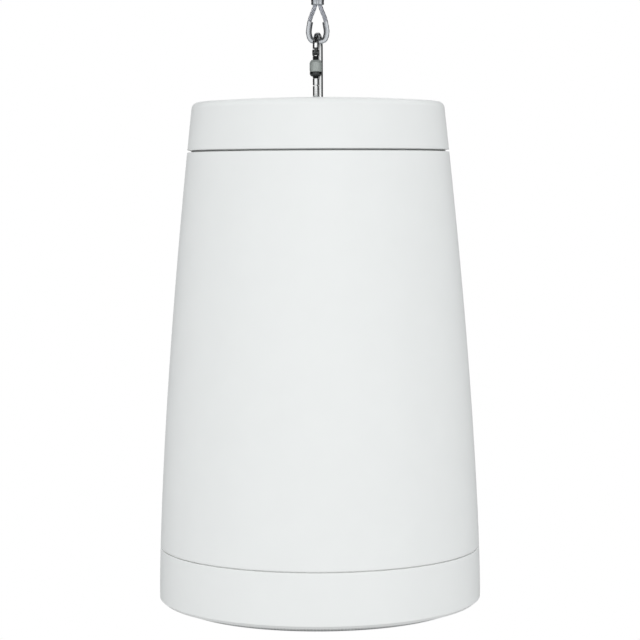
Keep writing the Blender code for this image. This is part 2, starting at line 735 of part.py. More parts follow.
def make_lifting_eye(cabinet, steel, plate_steel):
    """A welded ring on a shank, through the top plate and a load plate to a washer and nut."""
    ring_path = [(x, 0, z) for x, z in arc(0, 0, EYE_RING_RADIUS, 0, 345, 23)]
    ring = swept(ring_path, polygon(EYE_WIRE_RADIUS, 8), (0, 1, 0), looped=True)
    ring_centre = PLATE_TOP + SEAT + EYE_STANDOFF
    eye = finish("lifting_eye", ring, steel, cabinet)
    eye.location = (0, 0, cabinet_height(ring_centre))
    load_top = PLATE_UNDER - SEAT
    load_under = load_top - LOAD_PLATE_THICKNESS
    washer_top = load_under - SEAT
    nut_top = washer_top - WASHER_THICKNESS - SEAT
    shank_end = nut_top - NUT_HEIGHT - 0.003
    seat = -EYE_STANDOFF
    outline = [
        (EYE_NECK_RADIUS, -EYE_RING_RADIUS),
        (EYE_NECK_RADIUS, seat + EYE_COLLAR_HEIGHT),
        (EYE_COLLAR_RADIUS, seat + EYE_COLLAR_HEIGHT - 0.001),
        (EYE_COLLAR_RADIUS, seat),
        (EYE_SHANK_RADIUS, seat),
        (EYE_SHANK_RADIUS, shank_end - ring_centre + 0.0008),
        (EYE_SHANK_RADIUS - 0.0008, shank_end - ring_centre),
    ]
    shank = finish("eye_shank", turned(outline, 16, closed=False), None)
    shank.location = eye.location
    weld(eye, shank)
    hole = EYE_SHANK_RADIUS + SEAT
    in_cabinet("load_plate", ring_bm(hole, LOAD_PLATE_RADIUS, load_under, load_top, 24), plate_steel, cabinet)
    washer = ring_bm(hole, WASHER_RADIUS, washer_top - WASHER_THICKNESS, washer_top, 16)
    in_cabinet("eye_washer", washer, plate_steel, cabinet)
    nut = prism(polygon(NUT_RADIUS, 6), nut_top - NUT_HEIGHT, nut_top)
    nut = in_cabinet("eye_nut", nut, plate_steel, cabinet)
    bore = in_cabinet("nut_bore", rod(hole, nut_top - NUT_HEIGHT - 0.001, nut_top + 0.001), None, cabinet)
    cut(nut, bore)


# Cabinet shells


def cabinet_height(height):
    """A height above the bezel's rim, as a height in the cabinet's pivot frame."""
    return RIM_Z + height - LOW_BOW_Z


def in_cabinet(name, bm, material, cabinet, x=0.0, y=0.0):
    return finish(name, bm, material, cabinet, (x, y, cabinet_height(0)))


def ring_bm(inner, outer, bottom, top, segments):
    return turned([(inner, bottom), (outer, bottom), (outer, top), (inner, top)], segments)


def cap_outline():
    """Outside up from the skirt, over the crown to the rolled opening, and back underneath."""
    side_top = CAP_RIM - CAP_FILLET
    edge = crown_edge()
    lip = 0.0015
    points = [(outer_radius(h), h) for h in levels(CAP_BOTTOM, side_top, 2)]
    points += arc(edge, side_top, CAP_FILLET, 0, 90, 4)[1:]
    points += [(r, crown_height(r)) for r in (edge * 0.66, edge * 0.4)]
    top = crown_height(CAP_OPENING)
    points += arc(CAP_OPENING + lip, top - lip, lip, 90, 180, 2)
    points += [(CAP_OPENING, top - CAP_LIP_DEPTH), (CAP_OPENING + CAP_WALL, top - CAP_LIP_DEPTH)]
    points += [(r, crown_height(r) - CAP_WALL) for r in (CAP_OPENING + CAP_WALL, edge * 0.66, edge)]
    points += [(outer_radius(h) - CAP_WALL, h) for h in (side_top, CAP_BOTTOM)]
    return points


def make_cap(cabinet, shell, rubber, screw_steel):
    cap = in_cabinet("top_cap", turned(cap_outline(), SHELL_SEGMENTS), shell, cabinet)
    crown = crown_height(CAP_SCREW_CIRCLE)
    head_seat = crown - CAP_SCREW_SINK
    for number, degrees in enumerate(CAP_SCREW_ANGLES, 1):
        x, y = around(CAP_SCREW_CIRCLE, degrees)
        post = rod(CAP_POST_RADIUS, PLATE_TOP + SEAT, crown - CAP_WALL / 2)
        weld(cap, in_cabinet(f"cap_post_{number}", post, None, cabinet, x, y))
    for number, degrees in enumerate(CAP_SCREW_ANGLES, 1):
        x, y = around(CAP_SCREW_CIRCLE, degrees)
        hole = turned(
            [
                (SCREW_HEAD_RADIUS + SCREW_GAP, crown + 0.002),
                (SCREW_HEAD_RADIUS + SCREW_GAP, head_seat),
                (SCREW_RADIUS + SCREW_GAP, head_seat),
                (SCREW_RADIUS + SCREW_GAP, PLATE_TOP - 0.001),
            ],
            12,
            closed=False,
        )
        cut(cap, in_cabinet(f"cap_hole_{number}", hole, None, cabinet, x, y))
        screw_end = PLATE_UNDER - BOSS_DEPTH + 0.003
        screw = screw_bm(head_seat + SEAT, head_seat + SEAT + SCREW_HEAD_HEIGHT, screw_end)
        in_cabinet(f"cap_screw_{number}", screw, screw_steel, cabinet, x, y)
    grommet_hole = rod(GROMMET_NECK + SEAT, CAP_RIM - CAP_WALL - 0.002, CAP_RIM + CAP_CROWN + 0.002)
    cut(cap, in_cabinet("grommet_hole", grommet_hole, None, cabinet, 0, GROMMET_Y))
    make_grommet(cabinet, rubber)


def make_grommet(cabinet, rubber):
    """A rubber ring with a groove that holds the edge of its hole, for the cable."""
    slope = crown_height(GROMMET_Y - GROMMET_FLANGE) - crown_height(GROMMET_Y + GROMMET_FLANGE)
    margin = SEAT + slope / 2
    top = crown_height(GROMMET_Y) + margin
    under = crown_height(GROMMET_Y) - CAP_WALL - margin
    outline = [
        (GROMMET_BORE, under - GROMMET_LIP),
        (GROMMET_FLANGE - 0.001, under - GROMMET_LIP),
        (GROMMET_FLANGE, under - GROMMET_LIP / 2),
        (GROMMET_FLANGE, under),
        (GROMMET_NECK, under),
        (GROMMET_NECK, top),
        (GROMMET_FLANGE, top),
        (GROMMET_FLANGE - 0.001, top + GROMMET_LIP),
        (GROMMET_BORE + 0.001, top + GROMMET_LIP),
        (GROMMET_BORE, top + GROMMET_LIP - 0.001),
    ]
    in_cabinet("cable_grommet", turned(outline, 12), rubber, cabinet, 0, GROMMET_Y)


def screw_bm(head_seat, head_top, end):
    """A pan head on a plain shank. The head may sit above or below the shank."""
    rounding = 0.0008 if head_top > head_seat else -0.0008
    outline = [
        (SCREW_HEAD_RADIUS - 0.0008, head_top),
        (SCREW_HEAD_RADIUS, head_top - rounding),
        (SCREW_HEAD_RADIUS, head_seat),
        (SCREW_RADIUS, head_seat),
        (SCREW_RADIUS, end),
    ]
    return turned(outline, 8, closed=False)


def body_outline():
    """Top plate's edge, neck, shoulder, the tapering outside, the bottom flange and the inside."""
    neck_top = outer_radius(PLATE_TOP) - CAP_WALL - SCREW_GAP
    neck_foot = outer_radius(SHOULDER) - CAP_WALL - SCREW_GAP
    points = [(neck_top - 0.001, PLATE_TOP), (neck_top, PLATE_TOP - 0.001), (neck_foot, SHOULDER)]
    points += [(outer_radius(h), h) for h in levels(SHOULDER, BODY_BOTTOM, 6)]
    inside_foot = BODY_BOTTOM + BODY_FLANGE
    points += [(BODY_FLANGE_RADIUS, BODY_BOTTOM), (BODY_FLANGE_RADIUS, inside_foot)]
    inside_top = SHOULDER - BODY_WALL
    points += [(outer_radius(h) - BODY_WALL, h) for h in levels(inside_foot, inside_top, 3)]
    points += [(neck_foot - BODY_WALL, SHOULDER), (neck_top - BODY_WALL, PLATE_UNDER)]
    return points


def make_enclosure(cabinet, shell):
    bm = turned(body_outline(), SHELL_SEGMENTS, closed=False)
    body = in_cabinet("enclosure", bm, shell, cabinet)
    for number, degrees in enumerate(CAP_SCREW_ANGLES, 1):
        x, y = around(CAP_SCREW_CIRCLE, degrees)
        boss = rod(BOSS_RADIUS, PLATE_UNDER - BOSS_DEPTH, PLATE_UNDER + PLATE_THICKNESS / 2, 8)
        weld(body, in_cabinet(f"cap_boss_{number}", boss, None, cabinet, x, y))
    for number, degrees in enumerate(BEZEL_POST_ANGLES, 1):
        x, y = around(BEZEL_POST_CIRCLE, degrees)
        low = BODY_BOTTOM + BODY_FLANGE / 2
        boss = rod(BOSS_RADIUS, low, low + BODY_FLANGE / 2 + BOSS_DEPTH, 8)
        weld(body, in_cabinet(f"rim_boss_{number}", boss, None, cabinet, x, y))
    for side, name in ((-1, "left"), (1, "right")):
        stake = turned(
            [
                (STAKE_POST_RADIUS, PLATE_UNDER + PLATE_THICKNESS / 2),
                (STAKE_POST_RADIUS, PLATE_UNDER - BOARD_DROP + SEAT),
                (STAKE_RADIUS, PLATE_UNDER - BOARD_DROP + SEAT),
                (STAKE_RADIUS, PLATE_UNDER - BOARD_DROP - BOARD_THICKNESS - 0.0015),
            ],
            10,
            closed=False,
        )
        weld(body, in_cabinet(f"board_stake_{name}", stake, None, cabinet, side * STAKE_X, BOARD_Y))
    drill_enclosure(body, cabinet)


def drill_enclosure(body, cabinet):
    below = PLATE_UNDER - 0.001
    above = PLATE_TOP + 0.001
    drill = EYE_SHANK_RADIUS + SEAT
    cut(body, in_cabinet("eye_hole", rod(drill, below, above), None, cabinet))
    window = prism(rounded_rectangle(OPENING_HALF_WIDTH, OPENING_HALF_DEPTH, 0.003), below, above)
    cut(body, in_cabinet("transformer_window", window, None, cabinet, 0, PANEL_Y))
    tap_window = rod(TAP_BODY_RADIUS + SEAT, below, above)
    cut(body, in_cabinet("tap_window", tap_window, None, cabinet, TAP_X, PANEL_Y))
    thread = SCREW_RADIUS + PIN_GAP
    for number, degrees in enumerate(CAP_SCREW_ANGLES, 1):
        x, y = around(CAP_SCREW_CIRCLE, degrees)
        hole = rod(thread, PLATE_UNDER - BOSS_DEPTH + 0.002, above, 8)
        cut(body, in_cabinet(f"cap_thread_{number}", hole, None, cabinet, x, y))
    for number, degrees in enumerate(BEZEL_POST_ANGLES, 1):
        x, y = around(BEZEL_POST_CIRCLE, degrees)
        hole = rod(thread, BODY_BOTTOM - 0.001, BODY_BOTTOM + BODY_FLANGE + BOSS_DEPTH - 0.002, 8)
        cut(body, in_cabinet(f"rim_thread_{number}", hole, None, cabinet, x, y))
    for number, (x, y) in enumerate(panel_screw_places(), 1):
        cut(body, in_cabinet(f"panel_thread_{number}", rod(thread, below, above, 8), None, cabinet, x, y))
    for side, name in ((-1, "left"), (1, "right")):
        notch = rod(PORT_RADIUS + SCREW_GAP, BODY_BOTTOM - 0.001, BODY_BOTTOM + BODY_FLANGE + 0.001, 16)
        cut(body, in_cabinet(f"port_notch_{name}", notch, None, cabinet, side * PORT_CIRCLE, 0))


def bezel_outline():
    """Outer wall, rounded rim, the grille's seat and ledge, and the channel behind them."""
    seat = GRILLE_RADIUS + GRILLE_CLEARANCE
    ledge_top = LEDGE_UNDER + LEDGE_THICKNESS
    back = seat + BEZEL_WALL - 0.0005
    points = [(outer_radius(BEZEL_HEIGHT), BEZEL_HEIGHT)]
    points += [(outer_radius(STRAIGHT_HEIGHT), STRAIGHT_HEIGHT)]
    points += arc(BASE_RADIUS - BEZEL_FILLET, BEZEL_FILLET, BEZEL_FILLET, 0, -90, 3)
    points += [(seat + 0.0006, 0), (seat, 0.0006), (seat, LEDGE_UNDER)]
    points += [(seat - LEDGE_WIDTH, LEDGE_UNDER), (seat - LEDGE_WIDTH, ledge_top), (back, ledge_top)]
    points += [(back, BEZEL_WALL), (BASE_RADIUS - BEZEL_WALL, BEZEL_WALL)]
    points += [(outer_radius(BEZEL_HEIGHT) - BEZEL_WALL, BEZEL_HEIGHT)]
    return points


def make_bezel(cabinet, shell, screw_steel):
    bezel = in_cabinet("bezel", turned(bezel_outline(), SHELL_SEGMENTS), shell, cabinet)
    post_top = BAFFLE_FRONT - SEAT
    for number, degrees in enumerate(BEZEL_POST_ANGLES, 1):
        x, y = around(BEZEL_POST_CIRCLE, degrees)
        post = rod(BEZEL_POST_RADIUS, LEDGE_UNDER, post_top, 8)
        weld(bezel, in_cabinet(f"bezel_post_{number}", post, None, cabinet, x, y))
    for number, degrees in enumerate(BEZEL_POST_ANGLES, 1):
        x, y = around(BEZEL_POST_CIRCLE, degrees)
        head_seat = LEDGE_UNDER + HEAD_SINK
        hole = turned(
            [
                (SCREW_RADIUS + SCREW_GAP, post_top + 0.001),
                (SCREW_RADIUS + SCREW_GAP, head_seat),
                (SCREW_HEAD_RADIUS + SCREW_GAP, head_seat),
                (SCREW_HEAD_RADIUS + SCREW_GAP, LEDGE_UNDER - 0.001),
            ],
            12,
            closed=False,
        )
        cut(bezel, in_cabinet(f"bezel_hole_{number}", hole, None, cabinet, x, y))
        end = BODY_BOTTOM + BODY_FLANGE + BOSS_DEPTH - 0.003
        screw = screw_bm(head_seat - SEAT, head_seat - SEAT - SCREW_HEAD_HEIGHT, end)
        in_cabinet(f"bezel_screw_{number}", screw, screw_steel, cabinet, x, y)


# Grille, baffle, gasket and ports


def hole_centres(reach):
    """Middles of a staggered pattern of holes inside a circle."""
    row_step = HOLE_PITCH * math.sqrt(3) / 2
    rows = math.ceil(reach / row_step)
    columns = math.ceil(reach / HOLE_PITCH) + 1
    centres = []
    for row in range(-rows, rows + 1):
        shift = HOLE_PITCH / 2 if row % 2 else 0
        for column in range(-columns, columns + 1):
            x = column * HOLE_PITCH + shift
            y = row * row_step
            if math.hypot(x, y) <= reach:
                centres.append((x, y))
    return centres


def make_grille(cabinet, painted):
    """A pan of perforated sheet, its face just below the bezel's rim and its skirt inside it."""
    face = GRILLE_RADIUS - GRILLE_EDGE
    low = -GRILLE_DEPTH
    middle = low + GRILLE_EDGE
    outline = arc(face, middle, GRILLE_EDGE, -90, 0, 3) + [(GRILLE_RADIUS, GRILLE_SKIRT)]
    outline += [(GRILLE_RADIUS - GRILLE_SHEET, GRILLE_SKIRT)]
    outline += arc(face, middle, GRILLE_EDGE - GRILLE_SHEET, 0, -90, 2)
    grille = in_cabinet("grille", turned(outline, SHELL_SEGMENTS, closed=False), painted, cabinet)
    punches = bmesh.new()
    for x, y in hole_centres(face - HOLE_RADIUS - HOLE_MARGIN):
        corners = [(x + a, y + b) for a, b in polygon(HOLE_RADIUS, HOLE_SIDES, math.pi / 6)]
        bottom = [punches.verts.new((a, b, low - 0.001)) for a, b in corners]
        top = [punches.verts.new((a, b, low + GRILLE_SHEET + 0.001)) for a, b in corners]
        punches.faces.new(bottom[::-1])
        punches.faces.new(top)
        for i in range(HOLE_SIDES):
            j = (i + 1) % HOLE_SIDES
            punches.faces.new((bottom[i], bottom[j], top[j], top[i]))
    cut(grille, in_cabinet("grille_punches", punches, None, cabinet))


def make_baffle(cabinet, board, rubber):
    baffle_bm = ring_bm(CUTOUT_RADIUS, BAFFLE_RADIUS, BAFFLE_FRONT, BAFFLE_BACK, SHELL_SEGMENTS)
    baffle = in_cabinet("baffle", baffle_bm, board, cabinet)
    gasket_low = BAFFLE_BACK + SEAT
    gasket_top = gasket_low + GASKET_THICKNESS
    gasket_bm = ring_bm(GASKET_INNER, BAFFLE_RADIUS, gasket_low, gasket_top, SHELL_SEGMENTS)
    gasket = in_cabinet("baffle_gasket", gasket_bm, rubber, cabinet)
    low = BAFFLE_FRONT - 0.001
    high = BODY_BOTTOM + 0.001
    for number, degrees in enumerate(BEZEL_POST_ANGLES, 1):
        x, y = around(BEZEL_POST_CIRCLE, degrees)
        drill = rod(SCREW_RADIUS + SCREW_GAP, low, high, 8)
        drill = in_cabinet(f"rim_drill_{number}", drill, None, cabinet, x, y)
        cut(baffle, drill)
        cut(gasket, drill)
        x, y = around(WOOFER_SCREW_CIRCLE, degrees)
        drill = rod(SCREW_RADIUS + SCREW_GAP, low, high, 8)
        cut(baffle, in_cabinet(f"woofer_drill_{number}", drill, None, cabinet, x, y))
    for side, name in ((-1, "left"), (1, "right")):
        drill = rod(PORT_RADIUS + SEAT, low, high, 16)
        tool = in_cabinet(f"port_drill_{name}", drill, None, cabinet, side * PORT_CIRCLE, 0)
        cut(baffle, tool)
        cut(gasket, tool)


def make_ports(cabinet, plastic):
    """Open tubes with a lip that rests under the baffle."""
    lip_top = BAFFLE_FRONT - SEAT
    bore = PORT_RADIUS - PORT_WALL
    outline = [
        (bore, lip_top + PORT_LENGTH),
        (bore, lip_top),
        (bore + PORT_LIP, lip_top - PORT_LIP),
        (PORT_LIP_RADIUS, lip_top - PORT_LIP),
        (PORT_LIP_RADIUS, lip_top),
        (PORT_RADIUS, lip_top),
        (PORT_RADIUS, lip_top + PORT_LENGTH),
    ]
    for side, name in ((-1, "left"), (1, "right")):
        in_cabinet(f"port_tube_{name}", turned(outline, 16), plastic, cabinet, side * PORT_CIRCLE, 0)


# Woofer


def woofer_level(height):
    """A height counted up from the baffle's front face, into the cabinet."""
    return BAFFLE_FRONT + height


def shifted(outline):
    return [(r, woofer_level(h)) for r, h in outline]


def basket_outline():
    front = -SEAT - WOOFER_FLANGE
    recess = front + WOOFER_RECESS
    ledge_back = SPIDER_HEIGHT + 0.0027
    return [
        (WOOFER_FLANGE_RADIUS - 0.0008, front),
        (WOOFER_FLANGE_RADIUS, front + 0.0008),
        (WOOFER_FLANGE_RADIUS, -SEAT),
        (BASKET_MOUTH + BASKET_WALL + 0.001, -SEAT),
        (BASKET_MOUTH + BASKET_WALL, 0.006),
        (SPIDER_RADIUS + BASKET_WALL + 0.0005, SPIDER_HEIGHT),
        (SPIDER_RADIUS + BASKET_WALL + 0.0005, ledge_back),
        (BASKET_NECK + BASKET_WALL + 0.0005, ledge_back + 0.002),
        (BASKET_NECK + BASKET_WALL + 0.0005, BASKET_HEIGHT),
        (COIL_RADIUS + COIL_WALL + MAGNET_GAP, BASKET_HEIGHT),
        (COIL_RADIUS + COIL_WALL + MAGNET_GAP, BASKET_HEIGHT - BASKET_BACK),
        (BASKET_NECK, BASKET_HEIGHT - BASKET_BACK),
        (BASKET_NECK, SPIDER_HEIGHT),
        (SPIDER_RADIUS, SPIDER_HEIGHT),
        (SPIDER_RADIUS, SPIDER_HEIGHT - 0.0018),
        (BASKET_MOUTH, 0.0055),
        (BASKET_MOUTH, recess),
        (WOOFER_RECESS_RADIUS, recess),
        (WOOFER_RECESS_RADIUS, front),
    ]


def make_basket(cabinet, metal, screw_steel):
    """A pressed frame with windows between its arms, and the screws that hold it to the baffle."""
    basket = in_cabinet("woofer_basket", turned(shifted(basket_outline()), WOOFER_SEGMENTS), metal, cabinet)
    half = WINDOW_WIDTH / 2
    reach = BASKET_MOUTH + 0.01
    corners = [(BASKET_NECK, -half * 0.7), (reach, -half), (reach, half), (BASKET_NECK, half * 0.7)]
    for number in range(WINDOW_COUNT):
        window = prism(corners, woofer_level(WINDOW_BOTTOM), woofer_level(WINDOW_TOP))
        tipped(window, "Z", 360 / WINDOW_COUNT * (number + 0.5))
        cut(basket, in_cabinet(f"basket_window_{number + 1}", window, None, cabinet))
    head_seat = woofer_level(-SEAT - WOOFER_FLANGE)
    for number, degrees in enumerate(BEZEL_POST_ANGLES, 1):
        x, y = around(WOOFER_SCREW_CIRCLE, degrees)
        hole = rod(SCREW_RADIUS + SCREW_GAP, head_seat - 0.001, BAFFLE_FRONT, 10)
        cut(basket, in_cabinet(f"flange_hole_{number}", hole, None, cabinet, x, y))
        screw = screw_bm(head_seat - SEAT, head_seat - SEAT - SCREW_HEAD_HEIGHT, BAFFLE_BACK + 0.003)
        in_cabinet(f"woofer_screw_{number}", screw, screw_steel, cabinet, x, y)


def make_cone(cabinet, paper, coil_material):
    """The moving pieces: a curved cone and the voice coil's former in its neck."""
    lip = -SEAT - WOOFER_FLANGE + WOOFER_RECESS
    neck = COIL_RADIUS + COIL_WALL + SEAT
    flat = CONE_RIM - SURROUND_LIP
    front = [(CONE_RIM, lip), (flat, lip)]
    back = [(CONE_RIM, lip + CONE_PAPER), (flat - 0.0006, lip + CONE_PAPER)]
    for share in (0.33, 0.67):
        radius = flat + (neck - flat) * share
        height = lip + (CONE_NECK_HEIGHT - lip) * share**0.85
        front.append((radius, height))
        back.append((radius + CONE_PAPER * 0.2, height + CONE_PAPER * 1.2))
    front.append((neck, CONE_NECK_HEIGHT))
    back.append((neck, CONE_NECK_HEIGHT + CONE_PAPER * 1.4))
    cone_bm = turned(shifted(front + back[::-1]), WOOFER_SEGMENTS)
    in_cabinet("woofer_cone", cone_bm, paper, cabinet)
    low = woofer_level(CONE_NECK_HEIGHT - 0.002)
    coil = ring_bm(COIL_RADIUS, COIL_RADIUS + COIL_WALL, low, low + COIL_LENGTH, WOOFER_SEGMENTS)
    in_cabinet("voice_coil", coil, coil_material, cabinet)


def make_suspension(cabinet, rubber, cloth):
    """The half-roll surround at the cone's rim and the corrugated spider at its neck."""
    lip_back = -SEAT - WOOFER_FLANGE + WOOFER_RECESS - SEAT
    lip_front = lip_back - SURROUND_RUBBER
    inner = CONE_RIM - SURROUND_LIP + 0.001
    roll_start = CONE_RIM + 0.0005
    roll_end = BASKET_MOUTH + 0.0015
    middle = (roll_start + roll_end) / 2
    radius = (roll_end - roll_start) / 2
    outline = [(inner, lip_front)]
    outline += arc(middle, lip_front, radius, 180, 360, 6)
    outline += [(WOOFER_RECESS_RADIUS - SEAT, lip_front), (WOOFER_RECESS_RADIUS - SEAT, lip_back)]
    outline += arc(middle, lip_back, radius - SURROUND_RUBBER, 360, 180, 6)
    outline += [(inner, lip_back)]
    in_cabinet("surround", turned(shifted(outline), WOOFER_SEGMENTS), rubber, cabinet)
    start = COIL_RADIUS + COIL_WALL + SEAT
    end = SPIDER_RADIUS - SEAT
    top = []
    waves = 4
    for i in range(waves + 1):
        radius = start + (end - start) * i / waves
        swing = 0.0 if i in (0, waves) else 0.0012 * (-1) ** i
        top.append((radius, SPIDER_HEIGHT - SEAT - 0.0014 + swing))
    top[-1] = (end, SPIDER_HEIGHT - SEAT)
    under = [(r, h - 0.0008) for r, h in top]
    in_cabinet("spider", turned(shifted(top + under[::-1]), WOOFER_SEGMENTS), cloth, cabinet)


def make_motor(cabinet, steel, ferrite):
    """Front plate, ring magnet and back plate with its pole, stacked on the basket."""
    gap_radius = COIL_RADIUS + COIL_WALL + MAGNET_GAP
    front_low = woofer_level(BASKET_HEIGHT + SEAT)
    front_top = front_low + FRONT_PLATE
    magnet_low = front_top + SEAT
    magnet_top = magnet_low + MAGNET_HEIGHT
    back_low = magnet_top + SEAT
    back_top = back_low + BACK_PLATE
    plate = ring_bm(gap_radius, FRONT_PLATE_RADIUS, front_low, front_top, WOOFER_SEGMENTS)
    in_cabinet("front_plate", plate, steel, cabinet)
    magnet = ring_bm(MAGNET_BORE, MAGNET_RADIUS, magnet_low, magnet_top, WOOFER_SEGMENTS)
    in_cabinet("magnet", magnet, ferrite, cabinet)
    pole = COIL_RADIUS - MAGNET_GAP
    outline = [
        (POLE_BORE, front_low),
        (pole - 0.001, front_low),
        (pole, front_low + 0.001),
        (pole, back_low),
        (BACK_PLATE_RADIUS, back_low),
        (BACK_PLATE_RADIUS, back_top - 0.0015),
        (BACK_PLATE_RADIUS - 0.0015, back_top),
        (POLE_BORE, back_top),
    ]
    in_cabinet("back_plate", turned(outline, WOOFER_SEGMENTS), steel, cabinet)
    return back_top


def make_tweeter(cabinet, plastic, metal, back_top):
    """A tweeter in a short horn, on a post through the woofer's pole."""
    outline = [
        (POST_RADIUS, back_top),
        (POST_RADIUS, woofer_level(TWEETER_TOP)),
        (TWEETER_RADIUS, woofer_level(TWEETER_TOP - 0.002)),
        (TWEETER_RADIUS, woofer_level(0.006)),
        (HORN_RADIUS, woofer_level(0.0015 - HORN_DEPTH)),
        (HORN_RADIUS, woofer_level(-HORN_DEPTH)),
        (HORN_RADIUS - 0.0015, woofer_level(-HORN_DEPTH)),
        (DOME_RADIUS + 0.004, woofer_level(DOME_SEAT - 0.006)),
        (DOME_RADIUS, woofer_level(DOME_SEAT)),
    ]
    in_cabinet("tweeter_body", turned(outline, 16, closed=False), plastic, cabinet)
    seat = woofer_level(DOME_SEAT) - SEAT
    edge = DOME_RADIUS - SEAT
    dome = [(edge, seat)]
    dome += [(edge * math.cos(a), seat - 0.0006 - DOME_RISE * math.sin(a)) for a in (0.0, 0.5, 0.95, 1.3)]
    in_cabinet("tweeter_dome", turned(dome, 16, closed=False), metal, cabinet)


# Connection panel, tap switch and transformer


def panel_screw_places():
    """The two corners away from the tap switch, in the middle of each rounding."""
    half_x = PANEL_HALF_WIDTH - PANEL_CORNER
    half_y = PANEL_HALF_DEPTH - PANEL_CORNER
    return [(side_x * half_x, PANEL_Y + side_y * half_y) for side_x, side_y in PANEL_SCREW_CORNERS]


def make_panel(cabinet, plastic, screw_steel):
    low = PLATE_TOP + SEAT
    outline = rounded_rectangle(PANEL_HALF_WIDTH, PANEL_HALF_DEPTH, PANEL_CORNER)
    panel = in_cabinet("input_panel", prism(outline, low, PANEL_TOP), plastic, cabinet, 0, PANEL_Y)
    bush = rod(TAP_BUSH_RADIUS + SEAT, low - 0.001, PANEL_TOP + 0.001, 12)
    cut(panel, in_cabinet("bush_hole", bush, None, cabinet, TAP_X, PANEL_Y))
    for number, (x, y) in enumerate(panel_screw_places(), 1):
        hole = rod(SCREW_RADIUS + SCREW_GAP, low - 0.001, PANEL_TOP + 0.001, 10)
        cut(panel, in_cabinet(f"panel_hole_{number}", hole, None, cabinet, x, y))
        screw = screw_bm(PANEL_TOP + SEAT, PANEL_TOP + SEAT + SCREW_HEAD_HEIGHT, PLATE_UNDER - 0.002)
        in_cabinet(f"panel_screw_{number}", screw, screw_steel, cabinet, x, y)


def make_terminals(cabinet, plastic, brass):
    """A two-way screw terminal with sunk screws and round wire entries."""
    low = PANEL_TOP + SEAT
    top = low + TERMINAL_HEIGHT
    block_bm = prism(rounded_rectangle(TERMINAL_WIDTH / 2, TERMINAL_DEPTH / 2, 0.0015, 2), low, top)
    block = in_cabinet("terminal_block", block_bm, plastic, cabinet, TERMINAL_X, PANEL_Y)
    for number, side in ((1, -1), (2, 1)):
        x = TERMINAL_X + side * TERMINAL_PITCH / 2
        sink = rod(TERMINAL_SCREW_RADIUS + SEAT, top - TERMINAL_SINK, top + 0.001, 10)
        cut(block, in_cabinet(f"terminal_sink_{number}", sink, None, cabinet, x, PANEL_Y))
        entry = tipped(rod(0.0024, -0.001, TERMINAL_DEPTH * 0.45, 10), "X", -90)
        tool = in_cabinet(f"wire_entry_{number}", entry, None, cabinet, x, PANEL_Y - TERMINAL_DEPTH / 2)
        tool.location.z = cabinet_height(low + 0.005)
        cut(block, tool)
        seat = top - TERMINAL_SINK + SEAT
        screw_bmesh = rod(TERMINAL_SCREW_RADIUS, seat, seat + TERMINAL_SCREW_HEIGHT, 10)
        screw = in_cabinet(f"terminal_screw_{number}", screw_bmesh, brass, cabinet, x, PANEL_Y)
        head = seat + TERMINAL_SCREW_HEIGHT
        slot = box(TERMINAL_SCREW_RADIUS + 0.001, 0.0004, head - 0.001, head + 0.001)
        cut(screw, in_cabinet(f"screw_slot_{number}", slot, None, cabinet, x, PANEL_Y))


def make_tap_switch(cabinet, plastic, metal):
    """A rotary switch under the panel, its bush through it, and a pointer knob on its shaft."""
    top = PLATE_TOP
    bush_top = PANEL_TOP + TAP_BUSH_HEIGHT - 0.002
    bore = TAP_SHAFT_RADIUS + SEAT
    outline = [
        (bore, bush_top),
        (bore, top - 0.004),
        (TAP_SHAFT_RADIUS - 0.001, top - 0.004),
        (TAP_SHAFT_RADIUS - 0.001, top - TAP_BODY_HEIGHT),
        (TAP_BODY_RADIUS - 0.001, top - TAP_BODY_HEIGHT),
        (TAP_BODY_RADIUS, top - TAP_BODY_HEIGHT + 0.001),
        (TAP_BODY_RADIUS, top),
        (TAP_BUSH_RADIUS, top),
        (TAP_BUSH_RADIUS, bush_top),
    ]
    in_cabinet("tap_switch_body", turned(outline, 14), plastic, cabinet, TAP_X, PANEL_Y)
    knob_low = bush_top + SEAT
    knob_top = knob_low + TAP_KNOB_HEIGHT
    shaft_low = top - 0.004 + SEAT
    shaft_top = knob_low + TAP_KNOB_HEIGHT * 0.75
    shaft = rod(TAP_SHAFT_RADIUS, shaft_low, shaft_top, 12)
    in_cabinet("tap_shaft", shaft, metal, cabinet, TAP_X, PANEL_Y)
    knob_bm = turned(
        [
            (TAP_KNOB_RADIUS - 0.002, knob_top),
            (TAP_KNOB_RADIUS - 0.001, knob_top - 0.001),
            (TAP_KNOB_RADIUS, knob_low + 0.002),
            (TAP_KNOB_RADIUS, knob_low),
        ],
        20,
        closed=False,
    )
    knob = in_cabinet("tap_knob", knob_bm, plastic, cabinet, TAP_X, PANEL_Y)
    pointer = box(0.0012, TAP_KNOB_RADIUS * 0.55, knob_top - 0.001, knob_top + 0.0012)
    bmesh.ops.translate(pointer, verts=pointer.verts, vec=(0, TAP_KNOB_RADIUS * 0.3, 0))
    weld(knob, in_cabinet("knob_pointer", pointer, None, cabinet, TAP_X, PANEL_Y))
    bore = rod(TAP_SHAFT_RADIUS + PIN_GAP, knob_low - 0.001, shaft_top + SEAT, 12)
    cut(knob, in_cabinet("knob_bore", bore, None, cabinet, TAP_X, PANEL_Y))


